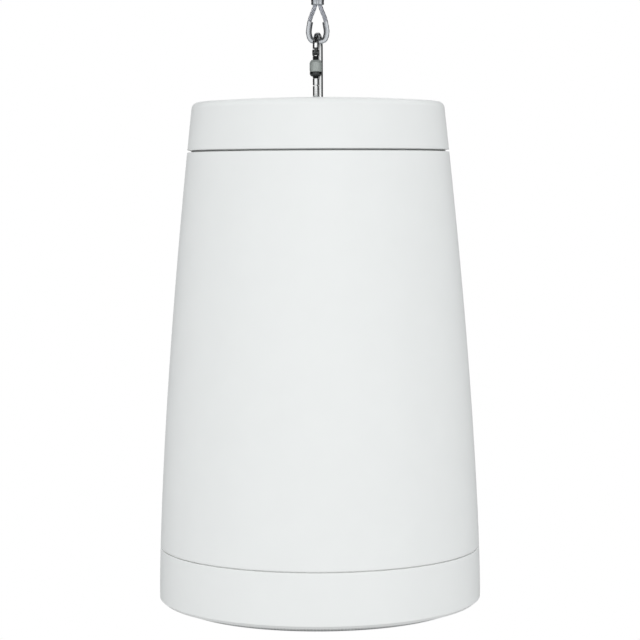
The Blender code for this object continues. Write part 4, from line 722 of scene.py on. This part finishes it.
def make_ferrule(metal):
    """A sleeve pressed about both legs, with a waist, rounded ends and three flatter bands."""
    bottom = BIGHT_Z + FERRULE_BOTTOM
    rings = 25
    bm = bmesh.new()
    rows = []
    for i in range(rings):
        share = i / (rings - 1)
        end = min(share, 1 - share)
        shrink = 0.0006 * max(0.0, 1 - end / 0.06) ** 2
        press = FERRULE_PRESS * max(0.0, math.sin(share * math.pi * 3)) ** 2
        radius = FERRULE_RADIUS - shrink - press
        waist = [(x, y * waist_share(x)) for x, y in ferrule_outline(radius)]
        rows.append([bm.verts.new((x, y, bottom + FERRULE_LENGTH * share)) for x, y in waist])
    inner = []
    for share in (1, 0):
        outline = ferrule_outline(ROPE_RADIUS + SEAT * 0.3)
        inner.append([bm.verts.new((x, y, bottom + FERRULE_LENGTH * share)) for x, y in outline])
    loops = rows + inner
    for ring, following in zip(loops, loops[1:] + loops[:1]):
        bridge(bm, ring, following)
    bmesh.ops.remove_doubles(bm, verts=bm.verts, dist=1e-7)
    return dress(linked("ferrule_sleeve", bm, metal, sharp=50), "suspension", "aluminium", "ferrule")


def make_thimble(metal):
    """A thin gutter with rounded flange edges, along the rope's own curve."""
    outer = ROPE_RADIUS + SEAT + THIMBLE_WALL
    inner = ROPE_RADIUS + SEAT
    lip = THIMBLE_WALL / 2
    middle = (outer + inner) / 2
    section = arc(0, 0, outer, 180, 360, 16)
    section += arc(middle, THIMBLE_FLANGE - lip, lip, 0, 180, 6)
    section += arc(0, 0, inner, 360, 180, 16)
    section += arc(-middle, THIMBLE_FLANGE - lip, lip, 0, 180, 6)
    path = [p for p in smooth_curve(rope_route(), THIMBLE_STEP) if p.z < BIGHT_Z + THIMBLE_TIP]
    bm = swept(path, section, (0, -1, 0))
    return dress(linked("rope_thimble", bm, metal), "suspension", "zinc_steel", "thimble")


def carabiner_path():
    top_centre = TOP_BOW_Z - BOW_RADIUS
    low_centre = LOW_BOW_Z + BOW_RADIUS
    start = HINGE_Z + GATE_RADIUS + SLIDE_GAP
    nose = HINGE_Z - GATE_LENGTH - 0.0005
    flat = [(-BOW_RADIUS, start), (-BOW_RADIUS, start + 0.001)]
    flat += arc(0, top_centre, BOW_RADIUS, 180, 0, 40)
    flat += [(BOW_RADIUS, height) for height in levels(top_centre, low_centre, 6)[1:-1]]
    flat += arc(0, low_centre, BOW_RADIUS, 0, -180, 40)
    flat += [(-BOW_RADIUS, nose - 0.0004), (-BOW_RADIUS, nose)]
    return [(0, y, z) for y, z in flat]


def place_hardware(obj, at=(0, 0, 0)):
    turn = Matrix.Rotation(-CARABINER_TURN, 4, "Z")
    obj.matrix_world = turn @ Matrix.Translation(at)
    return obj


def two_finishes(obj, main, second, picked):
    """The second material goes on the faces whose middles are picked."""
    obj.data.materials.clear()
    obj.data.materials.append(main)
    obj.data.materials.append(second)
    for face in obj.data.polygons:
        face.material_index = 1 if picked(face.center) else 0


# Faces at the frame's hinge end that take blackened steel as painted shade of the hinge fork
def in_painted_hinge_shade(place):
    return place.y < HINGE_REACH - BOW_RADIUS and abs(place.z - HINGE_Z) < HINGE_PAINTED_SHADE


def make_carabiner(steel, dark, ribbed):
    hinge = (0, -BOW_RADIUS, HINGE_Z)
    body = linked("carabiner_wire", swept(carabiner_path(), polygon(WIRE_RADIUS, 24), (1, 0, 0)), steel)
    tongue = prism(
        arc(0, 0, TONGUE_RADIUS, 180, 360, 16) + [(TONGUE_RADIUS, 0.006), (-TONGUE_RADIUS, 0.006)],
        -TONGUE_THICKNESS / 2,
        TONGUE_THICKNESS / 2,
    )
    tipped(tipped(tongue, "X", 90), "Z", 90)
    boolean(body, linked("tongue_tool", tongue), "UNION").location = hinge
    baked(body)
    # Painted shade: the tongue and wire end at the hinge take blackened steel for the hinge fork's shade
    two_finishes(body, steel, dark, in_painted_hinge_shade)
    place_hardware(body)
    dress(body, "carabiner", "polished_steel", "carabiner_frame")
    reach = GATE_RADIUS - SEAT
    pin = softened([(RIVET_RADIUS, -reach), (RIVET_RADIUS, reach)], 0.0001)
    rivet = linked("rivet_pin", tipped(turned(pin, 24, closed=False), "Y", 90), steel)
    place_hardware(rivet, hinge)
    dress(rivet, "carabiner", "dark_steel", "gate_rivet")
    gate_outline = [
        (GATE_RADIUS - 0.0003, -GATE_LENGTH),
        (GATE_RADIUS, -GATE_LENGTH + 0.0003),
        (GATE_RADIUS, THREAD_BOTTOM - 0.0003),
        (THREAD_ROOT - 0.0003, THREAD_BOTTOM),
        (THREAD_ROOT - 0.0003, THREAD_TOP),
        (GATE_RADIUS, THREAD_TOP + 0.0003),
        (GATE_RADIUS, 0),
    ]
    gate = linked("gate_bar", turned(gate_outline, 32, closed=False), steel)
    head = tipped(rod(GATE_RADIUS, -GATE_RADIUS, GATE_RADIUS), "Y", 90)
    boolean(gate, linked("head_tool", head), "UNION")
    half_slot = TONGUE_THICKNESS / 2 + SEAT
    boolean(gate, linked("slot_tool", box(half_slot, 0.004, -TONGUE_RADIUS - SLIDE_GAP, 0.004)))
    baked(gate)
    # Above the thread's foot the gate takes blackened steel: the thread's own finish, and on the head and
    # top of the bar painted shade of the hinge fork
    two_finishes(gate, steel, dark, lambda place: place.z > THREAD_BOTTOM)
    place_hardware(gate, hinge)
    dress(gate, "gate", "polished_steel", "carabiner_gate")
    make_thread(hinge, dark)
    make_lock_sleeve(hinge, ribbed, dark)


def make_lock_sleeve(hinge, ribbed, dark):
    """A knurled sleeve with chamfered ends, and a black band at its foot."""
    segments = KNURL_RIDGES * 6
    top = -SLEEVE_DROP
    bottom = top - SLEEVE_LENGTH + BAND_HEIGHT
    bore = GATE_RADIUS + SEAT
    profile = [
        (bore, bottom, 0),
        (SLEEVE_RADIUS - 0.0004, bottom, 0),
        (SLEEVE_RADIUS - 0.0001, bottom + 0.0003, 0),
        (SLEEVE_RADIUS, bottom + 0.0006, 1),
        (SLEEVE_RADIUS, top - 0.0024, 1),
        (SLEEVE_RADIUS - 0.0002, top - 0.0018, 0),
        (SLEEVE_RADIUS - 0.0006, top - 0.0009, 0),
        (SLEEVE_RADIUS - 0.0014, top, 0),
        (bore, top, 0),
    ]
    bm = bmesh.new()
    rows = []
    for radius, height, ridged in profile:
        ring = []
        for i in range(segments):
            angle = math.tau * i / segments
            dip = KNURL_DEPTH * (0.5 - 0.5 * math.cos(angle * KNURL_RIDGES)) * ridged
            reach = radius - dip
            ring.append(bm.verts.new((reach * math.cos(angle), reach * math.sin(angle), height)))
        rows.append(ring)
    for ring, following in zip(rows, rows[1:] + rows[:1]):
        bridge(bm, ring, following)
    sleeve = place_hardware(linked("knurled_sleeve", bm, ribbed, sharp=40), hinge)
    dress(sleeve, "lock_sleeve", "knurled_steel", "lock_sleeve")
    foot = bottom - BAND_HEIGHT
    outline = [
        (bore, bottom - 0.0001),
        (bore, foot + 0.0012),
        (bore + 0.0006, foot + 0.0004),
        (SLEEVE_RADIUS - 0.0016, foot),
        (SLEEVE_RADIUS - 0.0009, foot + 0.0003),
        (SLEEVE_RADIUS - 0.0001, foot + 0.0016),
        (SLEEVE_RADIUS - 0.0001, bottom - 0.0004),
        (SLEEVE_RADIUS - 0.0004, bottom - 0.0001),
    ]
    band = place_hardware(linked("sleeve_band", turned(outline, 96), dark, sharp=50), hinge)
    dress(band, "lock_sleeve", "dark_steel")


def make_thread(hinge, dark):
    """The blackened thread on which the sleeve turns, from the hinge down past the sleeve."""
    outline = [(THREAD_ROOT - 0.0004, THREAD_BOTTOM), (THREAD_ROOT, THREAD_BOTTOM)]
    turns = round((THREAD_TOP - THREAD_BOTTOM) / THREAD_PITCH)
    for i in range(turns):
        foot = THREAD_BOTTOM + i * THREAD_PITCH
        outline.append((GATE_RADIUS + 0.0002, foot + THREAD_PITCH * 0.42))
        outline.append((GATE_RADIUS + 0.0002, foot + THREAD_PITCH * 0.58))
        outline.append((THREAD_ROOT, foot + THREAD_PITCH))
    outline.append((THREAD_ROOT - 0.0004, THREAD_TOP))
    thread = place_hardware(linked("gate_thread", turned(outline, 48), dark, sharp=25), hinge)
    dress(thread, "gate", "dark_steel")


def make_lifting_eye(steel):
    ring_path = [(x, 0, z) for x, z in arc(0, 0, EYE_RING_RADIUS, 0, 357, 119)]
    eye = linked("eye_ring", swept(ring_path, polygon(EYE_WIRE_RADIUS, 24), (0, 1, 0), looped=True), steel)
    eye.location = (0, 0, EYE_Z)
    seat = -EYE_STANDOFF
    outline = [
        (0.0045, -EYE_RING_RADIUS),
        (0.0045, seat + 0.0048),
        (0.0049, seat + 0.0042),
        (0.0060, seat + 0.0040),
        (0.0092, seat + 0.0033),
        (0.0100, seat + 0.0026),
        (0.0100, seat),
        (0.0040, seat),
        (0.0040, seat - 0.0212),
        (0.0032, seat - 0.0220),
    ]
    shank = boolean(eye, linked("shank_tool", turned(outline, 48, closed=False)), "UNION")
    shank.location = eye.location
    baked(eye)
    dress(eye, "cabinet", "polished_steel", "lifting_eye")


def make_ceiling_fitting(metal):
    outline = [
        (0.0216, 0),
        (0.022, -0.0004),
        (0.022, -0.0026),
        (0.0216, -0.003),
        (0.0125, -0.0031),
        (0.0095, -0.0040),
        (0.0074, -0.0054),
        (0.0065, -0.0076),
        (0.0065, -0.0168),
        (0.0061, -0.0176),
        (0.0055, -FITTING_HEIGHT),
    ]
    fitting = linked("rose", turned(outline, 96, closed=False), metal)
    bore = rod(ROPE_RADIUS + SEAT, -FITTING_HEIGHT - 0.001, FITTING_BORE_DEPTH - FITTING_HEIGHT)
    boolean(fitting, linked("bore_tool", bore))
    for side in (-1, 1):
        hole = turned([(0.0022, 0.001), (0.0022, -0.0018), (0.0042, -0.0040)], 32, closed=False)
        boolean(fitting, linked("hole_tool", hole)).location = (side * 0.016, 0, 0)
    tapped = tipped(rod(0.0021, 0, 0.0075), "X", -90)
    boolean(fitting, linked("clamp_tool", tapped)).location = (0, 0, 0.0062 - FITTING_HEIGHT)
    baked(fitting)
    dress(fitting, "suspension", "zinc_steel", "ceiling_fitting")


# Cabinet


def cap_outline():
    side_top = CAP_RIM - CAP_FILLET
    edge = CROWN_EDGE
    lip = 0.0015
    points = arc(outer_radius(CAP_BOTTOM) - 0.0004, CAP_BOTTOM + 0.0004, 0.0004, -90, 0, 4)
    points += [(outer_radius(h), h) for h in levels(CAP_BOTTOM + 0.002, side_top, 8)]
    points += arc(edge, side_top, CAP_FILLET, 0, 90, 14)[1:]
    points += [(r, crown_height(r)) for r in levels(edge * 0.95, CAP_OPENING + lip * 2, 14)]
    top = crown_height(CAP_OPENING)
    points += arc(CAP_OPENING + lip, top - lip, lip, 90, 180, 8)
    points += arc(CAP_OPENING + 0.0008, top - CAP_LIP_DEPTH + 0.0008, 0.0008, 180, 270, 4)
    points += arc(CAP_OPENING + CAP_WALL - 0.0008, top - CAP_LIP_DEPTH + 0.0008, 0.0008, 270, 360, 4)
    points += [(r, crown_height(r) - CAP_WALL) for r in levels(CAP_OPENING + CAP_WALL, edge, 6)]
    points += [(outer_radius(h) - CAP_WALL, h) for h in (side_top, CAP_BOTTOM)]
    return points


def make_cap(shell, steel, rubber):
    cap = at_rim(linked("cap_shell", turned(cap_outline(), SHELL_SEGMENTS), shell, sharp=30))
    for degrees in CAP_SCREW_ANGLES:
        x, y = around(CAP_SCREW_CIRCLE, degrees)
        post = rod(0.006, PLATE_TOP + SEAT, crown_height(CAP_SCREW_CIRCLE) - CAP_WALL / 2)
        at_rim(boolean(cap, linked("post_tool", post), "UNION"), x, y)
    for degrees in CAP_SCREW_ANGLES:
        x, y = around(CAP_SCREW_CIRCLE, degrees)
        crown = crown_height(CAP_SCREW_CIRCLE)
        wide = SCREW_HEAD_RADIUS + 0.0004
        seat = crown - CAP_SCREW_SINK
        hole = turned(
            [(wide + 0.0006, crown + 0.002), (wide + 0.0003, crown), (wide, crown - 0.0004), (wide, seat),
             (0.0023, seat), (0.0023, PLATE_TOP - 0.001)],
            32,
            closed=False,
        )
        at_rim(boolean(cap, linked("screw_tool", hole)), x, y)
    hole = rod(GROMMET_NECK + SEAT, CAP_RIM - 0.006, CAP_RIM + 0.006)
    at_rim(boolean(cap, linked("grommet_tool", hole)), 0, GROMMET_Y)
    baked(cap)
    dress(cap, "cabinet", "white_moulding", "top_cap")
    # The seal is also painted shade for the gap under the cap
    make_gap_shade_seal(rubber)
    make_grommet(rubber)
    for number, degrees in enumerate(CAP_SCREW_ANGLES, 1):
        make_cap_screw(number, degrees, steel)


def make_gap_shade_seal(rubber):
    """A dark cord seal at the foot of the neck, in the gap under the cap; besides sealing, it is painted
    shade that darkens the gap.
    """
    height = (SHOULDER + CAP_BOTTOM) / 2
    radius = outer_radius(height) - CAP_WALL + 0.0002
    ring = turned(arc(radius, height, 0.0002, 0, 330, 11), SHELL_SEGMENTS)
    dress(at_rim(linked("gap_shade_seal", ring, rubber, sharp=80)), "cabinet", "black_rubber")


def make_cap_screw(number, degrees, steel):
    x, y = around(CAP_SCREW_CIRCLE, degrees)
    seat = crown_height(CAP_SCREW_CIRCLE) - CAP_SCREW_SINK + SEAT
    top = seat + 0.0026
    outline = [
        (0.0001, top),
        (0.0020, top - 0.0001),
        (0.0030, top - 0.0004),
        (0.0035, top - 0.0009),
        (0.0037, top - 0.0016),
        (0.0037, seat),
        (0.0019, seat),
        (0.0019, PLATE_UNDER - 0.007),
    ]
    screw = at_rim(linked(f"crown_screw_{number}", turned(outline, 32, closed=False), steel), x, y)
    for turn in (0, 90):
        slot = tipped(box(0.0019, 0.00035, top - 0.0013, top + 0.001), "Z", turn)
        at_rim(boolean(screw, linked("cross_tool", slot)), x, y)
    baked(screw)
    dress(screw, "cabinet", "dark_steel", f"cap_screw_{number}")


def make_grommet(rubber):
    low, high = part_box("cable_grommet")
    under = low.z - RIM_Z
    top = high.z - RIM_Z
    outline = [
        (0.0045, under + 0.0006),
        (0.0051, under),
        (0.0088, under),
        (0.0100, under + 0.0012),
        (0.0100, under + 0.0020),
        (0.0075, under + 0.0020),
        (0.0075, top - 0.0020),
        (0.0100, top - 0.0020),
        (0.0099, top - 0.0012),
        (0.0092, top - 0.0004),
        (0.0080, top),
        (0.0062, top),
        (0.0052, top - 0.0003),
        (0.0046, top - 0.0010),
    ]
    grommet = at_rim(linked("rubber_grommet", turned(outline, 64), rubber, sharp=60), 0, GROMMET_Y)
    dress(grommet, "cabinet", "black_rubber", "cable_grommet")


def make_enclosure(shell):
    neck_top = outer_radius(PLATE_TOP) - CAP_WALL - 0.0004
    neck_foot = outer_radius(SHOULDER) - CAP_WALL - 0.0004
    points = [(neck_top - 0.001, PLATE_TOP), (neck_top, PLATE_TOP - 0.001), (neck_foot, SHOULDER)]
    points += arc(outer_radius(SHOULDER) - 0.0004, SHOULDER - 0.0004, 0.0004, 90, 0, 4)
    points += [(outer_radius(h), h) for h in levels(SHOULDER - 0.003, BODY_BOTTOM + 0.002, 44)]
    points += arc(outer_radius(BODY_BOTTOM) - 0.0003, BODY_BOTTOM + 0.0003, 0.0003, 0, -90, 4)
    points += [(BODY_FLANGE_RADIUS, BODY_BOTTOM), (BODY_FLANGE_RADIUS, BODY_BOTTOM + BODY_FLANGE)]
    inside = levels(BODY_BOTTOM + BODY_FLANGE, SHOULDER - BODY_WALL, 8)
    points += [(outer_radius(h) - BODY_WALL, h) for h in inside]
    points += [(neck_foot - BODY_WALL, SHOULDER), (neck_top - BODY_WALL, PLATE_UNDER)]
    body = at_rim(linked("enclosure_shell", turned(points, SHELL_SEGMENTS, closed=False), shell, sharp=30))
    dress(body, "cabinet", "white_moulding", "enclosure")


def make_bezel(shell):
    seat = GRILLE_SEAT
    back = seat + BEZEL_WALL - 0.0005
    points = arc(outer_radius(BEZEL_HEIGHT) - 0.0003, BEZEL_HEIGHT - 0.0003, 0.0003, 90, 0, 4)
    points += [(outer_radius(h), h) for h in levels(BEZEL_HEIGHT - 0.002, BEZEL_FILLET + 0.002, 10)]
    soft = BEZEL_SOFT
    points += arc(BASE_RADIUS - soft, BEZEL_FILLET + soft + BEZEL_EDGE_RISE, soft, 0, -55, 5)
    points += arc(BASE_RADIUS - BEZEL_CHAMFER, soft + BEZEL_LIFT, soft, -55, -90, 4)
    points += arc(seat + soft, soft + BEZEL_LIFT, soft, -90, -180, 6)
    points += [(seat, LEDGE_UNDER), (seat - LEDGE_WIDTH, LEDGE_UNDER), (seat - LEDGE_WIDTH, LEDGE_TOP)]
    points += [(back, LEDGE_TOP), (back, BEZEL_WALL), (BASE_RADIUS - BEZEL_WALL, BEZEL_WALL)]
    lip = outer_radius(BEZEL_HEIGHT) - BEZEL_LIP
    lip_top = BODY_BOTTOM - 0.0002
    points += [(outer_radius(BEZEL_HEIGHT) - BEZEL_WALL, lip_top), (lip, lip_top), (lip, BEZEL_HEIGHT)]
    bezel = at_rim(linked("bezel_ring", turned(points, SHELL_SEGMENTS), shell, sharp=30))
    for degrees in BEZEL_POST_ANGLES:
        x, y = around(BEZEL_POST_CIRCLE, degrees)
        post = rod(BEZEL_POST_RADIUS, LEDGE_UNDER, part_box("baffle")[0].z - RIM_Z - SEAT)
        at_rim(boolean(bezel, linked("bezel_post_tool", post), "UNION"), x, y)
    baked(bezel)
    dress(bezel, "cabinet", "white_moulding", "bezel")


# Grille


def lattice(reach, pitch):
    """Middles of a staggered pattern of holes inside a circle."""
    row_step = pitch * math.sqrt(3) / 2
    rows = math.ceil(reach / row_step)
    columns = math.ceil(reach / pitch) + 1
    centres = []
    for row in range(-rows, rows + 1):
        shift = pitch / 2 if row % 2 else 0
        for column in range(-columns, columns + 1):
            x = column * pitch + shift
            y = row * row_step
            if math.hypot(x, y) <= reach:
                centres.append((x, y))
    return centres


def grille_level(radius):
    """The face is a little domed: lowest in the middle."""
    return -GRILLE_DEPTH + 0.0004 * (radius / GRILLE_RADIUS) ** 2


def make_grille_cloth(cloth):
    """Black acoustic cloth close behind the perforated sheet, up to its skirt."""
    face_edge = GRILLE_RADIUS - GRILLE_EDGE
    middle = grille_level(face_edge) + GRILLE_EDGE
    turn = GRILLE_EDGE - 0.0006
    flat = levels(0.0005, face_edge, 10)[:-1]
    outline = [(r, grille_level(r) + CLOTH_GAP) for r in flat]
    outline += arc(face_edge, middle, turn, -90, -10, 8)
    outline += arc(face_edge, middle, turn - CLOTH_THICKNESS, -10, -90, 8)
    outline += [(r, grille_level(r) + CLOTH_GAP + CLOTH_THICKNESS) for r in reversed(flat)]
    sheet = at_rim(linked("grille_cloth", turned(outline, SHELL_SEGMENTS, closed=False), cloth, sharp=60))
    dress(sheet, "cabinet", "black_rubber")


def make_grille(painted):
    """Hexagonal cells with hexagonal holes, a plain rim, and rows of holes on the rounded edge."""
    sheet = GRILLE_SHEET
    cell = HOLE_PITCH / math.sqrt(3)
    hole = HOLE_PITCH * HOLE_SHARE / 2 * 1.05
    face_edge = GRILLE_RADIUS - GRILLE_EDGE
    bm = bmesh.new()
    corners = {}

    def corner(x, y):
        key = (round(x * 2e5), round(y * 2e5))
        if key not in corners:
            corners[key] = bm.verts.new((x, y, grille_level(math.hypot(x, y))))
        return corners[key]

    for x, y in lattice(face_edge - HOLE_PITCH * 0.75, HOLE_PITCH):
        low = grille_level(math.hypot(x, y))
        outer = [corner(x + a, y + b) for a, b in polygon(cell, 6, math.pi / 6)]
        inner = [bm.verts.new((x + a, y + b, low)) for a, b in polygon(hole, 6, math.pi / 6)]
        upper = [bm.verts.new((x + a, y + b, low + sheet)) for a, b in polygon(hole * 0.94, 6, math.pi / 6)]
        for j in range(6):
            k = (j + 1) % 6
            bm.faces.new((outer[k], outer[j], inner[j], inner[k]))
            bm.faces.new((inner[k], inner[j], upper[j], upper[k]))

    def on_face(vert):
        return abs(vert.co.z - grille_level(vert.co.xy.length)) < 1e-7

    rim_edges = [edge for edge in bm.edges if edge.is_boundary and all(map(on_face, edge.verts))]
    level = grille_level(face_edge)
    spots = [around(face_edge, 360 * i / GRILLE_FACETS) for i in range(GRILLE_FACETS)]
    circle = [bm.verts.new((x, y, level)) for x, y in spots]
    circle_edges = [bm.edges.new(pair) for pair in zip(circle, circle[1:] + circle[:1])]
    bmesh.ops.triangle_fill(
        bm, use_beauty=True, use_dissolve=False, edges=rim_edges + circle_edges, normal=(0, 0, -1)
    )
    add_grille_edge(bm, circle, sheet)
    grille = at_rim(linked("perforated_grille", bm, painted, sharp=50))
    dress(grille, "cabinet", "white_paint", "grille")


def add_grille_edge(bm, circle, sheet):
    """The rounded edge in three perforated bands, and the plain skirt above."""
    count = len(circle)
    middle = grille_level(GRILLE_RADIUS - GRILLE_EDGE) + GRILLE_EDGE
    face_edge = GRILLE_RADIUS - GRILLE_EDGE

    def spot(angle, along):
        """A point on the rounded edge: along runs from 0 at the face to 1 at the skirt."""
        lift = math.radians(-90 + 90 * along)
        radius = face_edge + GRILLE_EDGE * math.cos(lift)
        return radius * math.cos(angle), radius * math.sin(angle), middle + GRILLE_EDGE * math.sin(lift)

    step = math.tau / count
    rings = [circle]
    for along in EDGE_BANDS[1:]:
        rings.append([bm.verts.new(spot(step * i, along)) for i in range(count)])
    for band, (ring, following) in enumerate(zip(rings, rings[1:])):
        low, high = EDGE_BANDS[band], EDGE_BANDS[band + 1]
        for i in range(count):
            k = (i + 1) % count
            outer = (ring[i], ring[k], following[k], following[i])
            centre = step * (i + 0.5)
            mid = (low + high) / 2
            inner = []
            deep = []
            for a, b in EDGE_HOLE:
                point = Vector(spot(centre + a * step, mid + b * (high - low)))
                inner.append(bm.verts.new(point))
                inward = Vector((point.x, point.y, 0)).normalized() * -sheet * 0.5
                deep.append(bm.verts.new(point + inward + Vector((0, 0, sheet * 0.25))))
            for j in range(4):
                m = (j + 1) % 4
                bm.faces.new((outer[j], outer[m], inner[m], inner[j]))
                bm.faces.new((inner[j], inner[m], deep[m], deep[j]))
    skirt = [bm.verts.new((v.co.x, v.co.y, GRILLE_SKIRT)) for v in rings[-1]]
    inside = []
    for height in (GRILLE_SKIRT, middle):
        inside.append([bm.verts.new((*(v.co.xy * (1 - sheet / GRILLE_RADIUS)), height)) for v in skirt])
    for ring, following in ((rings[-1], skirt), (skirt, inside[0]), (inside[0], inside[1])):
        bridge(bm, ring, following)


# Flexible rings of the driver


def make_spider(cloth):
    """The corrugated disc between the basket and the neck of the cone."""
    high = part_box("spider")[1]
    lip = high.z - RIM_Z
    inner, outer = SPIDER_NECK, high.x
    rise = SPIDER_WAVED
    top = []
    for share in levels(0, 1, 64):
        wave = math.sin(math.tau * SPIDER_WAVES * share / rise) if share < rise else 0.0
        climb = max(0.0, (share - rise) / (1 - rise))
        height = lip - SPIDER_DROP * (1 - climb) + SPIDER_WAVE_HEIGHT * wave
        top.append((inner + (outer - inner) * share, height))
    outline = top + [(r, h - SPIDER_THICKNESS) for r, h in reversed(top)]
    make_flexing_ring(
        "spider_cloth", "spider", outline, 8, cloth
    )


def make_surround(rubber):
    """The half roll between the basket and the rim of the cone."""
    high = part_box("surround")[1]
    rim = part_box("woofer_cone")[1].x
    back = high.z - RIM_Z
    front = back - ROLL_THICKNESS
    middle, radius = rim + ROLL_MIDDLE, ROLL_RADIUS
    outline = [(rim - ROLL_GLUE, front)] + arc(middle, front, radius, 180, 360, 20)
    outline += [(high.x, front), (high.x, back)]
    outline += arc(middle, back, radius - ROLL_THICKNESS, 360, 180, 20) + [(rim - ROLL_GLUE, back)]
    make_flexing_ring(
        "surround_roll", "surround", outline, 16, rubber
    )


def make_flexing_ring(name, node, outline, sectors, material):
    """Sectors of a ring from the basket to the cone, made in place of the node."""
    half = math.pi / sectors
    for number in range(1, sectors + 1):
        middle = math.tau * (number - 0.5) / sectors
        bm = bmesh.new()
        rows = []
        for angle in levels(middle - half, middle + half, 6):
            rows.append([bm.verts.new((r * math.cos(angle), r * math.sin(angle), h)) for r, h in outline])
        for ring, following in zip(rows, rows[1:]):
            bridge(bm, ring, following)
        bm.faces.new(rows[0])
        bm.faces.new(rows[-1])
        piece = at_rim(linked(f"{name}_{number}", bm, material, sharp=60))
        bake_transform(piece)
        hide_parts(node)


# Finishes of the CAD nodes that stay


def finish_nodes(finishes):
    """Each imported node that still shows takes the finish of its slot."""
    slots = {row["node"]: row["material_slot"] for row in frame["record"]["subparts"]}
    for name, obj in frame["nodes"].items():
        material = finishes[slots[name]]
        if obj.data.materials:
            obj.data.materials[0] = material
        else:
            obj.data.materials.append(material)
        obj.data.shade_smooth()
        obj.data.set_sharp_from_angle(angle=math.radians(40))


def make_finishes():
    return {
        "white_moulding": surface(
            "white moulding", (0.874, 0.880, 0.861), 0.42, grain=1500, bump=0.06, mottle=0.006
        ),
        "white_paint": surface(
            "white powder coat", (0.83, 0.84, 0.825), 0.5, grain=1100, bump=0.1, mottle=0.01
        ),
        "polished_steel": surface(
            "polished steel", (0.62, 0.63, 0.63), 0.13, 1.0, grain=700, bump=0.04, gloss=0.3
        ),
        "knurled_steel": surface(
            "ribbed steel", (0.37, 0.40, 0.38), 0.44, 0.45, grain=1200, bump=0.1, gloss=0.2
        ),
        "zinc_steel": surface(
            "bright zinc", (0.46, 0.48, 0.50), 0.42, 1.0, grain=900, bump=0.1, mottle=0.08, gloss=0.25
        ),
        "aluminium": surface(
            "pressed aluminium", (0.42, 0.44, 0.46), 0.34, 1.0, grain=1300, bump=0.15, mottle=0.07
        ),
        "dark_steel": surface(
            "blackened steel", (0.05, 0.054, 0.054), 0.22, 0.8, grain=1000, bump=0.1, mottle=0.15
        ),
        "black_plastic": surface(
            "black moulding", (0.03, 0.03, 0.032), 0.48, grain=1400, bump=0.1, mottle=0.1
        ),
        "black_rubber": surface(
            "black rubber", (0.035, 0.035, 0.036), 0.72, grain=1600, bump=0.12, mottle=0.12
        ),
        "ferrite": surface("ferrite", (0.05, 0.05, 0.052), 0.6, grain=800, bump=0.2, mottle=0.2),
        "cone_paper": surface("cone paper", (0.06, 0.06, 0.065), 0.8, grain=600, bump=0.4, mottle=0.2),
        "spider_cloth": surface("amber cloth", (0.42, 0.25, 0.10), 0.85, grain=1800, bump=0.5, mottle=0.15),
        "wadding": surface("white wadding", (0.80, 0.80, 0.78), 0.95, grain=500, bump=0.8, mottle=0.08),
        "copper": surface(
            "enamelled copper", (0.55, 0.27, 0.14), 0.3, 0.9, grain=1500, bump=0.3, mottle=0.12
        ),
        "board": surface("green board", (0.05, 0.22, 0.12), 0.45, grain=1200, bump=0.1, mottle=0.1),
    }


def main():
    bpy.context.scene.view_settings.view_transform = "Standard"
    make_camera()
    finishes = make_finishes()
    rope, path = make_rope(strand_metal())
    ferrule = make_ferrule(finishes["aluminium"])
    thimble = make_thimble(finishes["zinc_steel"])
    make_ceiling_fitting(finishes["zinc_steel"])
    make_carabiner(finishes["polished_steel"], finishes["dark_steel"], finishes["knurled_steel"])
    make_lifting_eye(finishes["polished_steel"])
    make_cap(finishes["white_moulding"], finishes["dark_steel"], finishes["black_rubber"])
    make_enclosure(finishes["white_moulding"])
    make_bezel(finishes["white_moulding"])
    make_grille(finishes["white_paint"])
    make_grille_cloth(surface("black cloth", (0.02, 0.02, 0.021), 0.95, grain=1500, bump=0.5, mottle=0.15))
    make_spider(finishes["spider_cloth"])
    make_surround(finishes["black_rubber"])
    finish_nodes(finishes)
    make_lights()
    make_world()
    make_floor()


main()
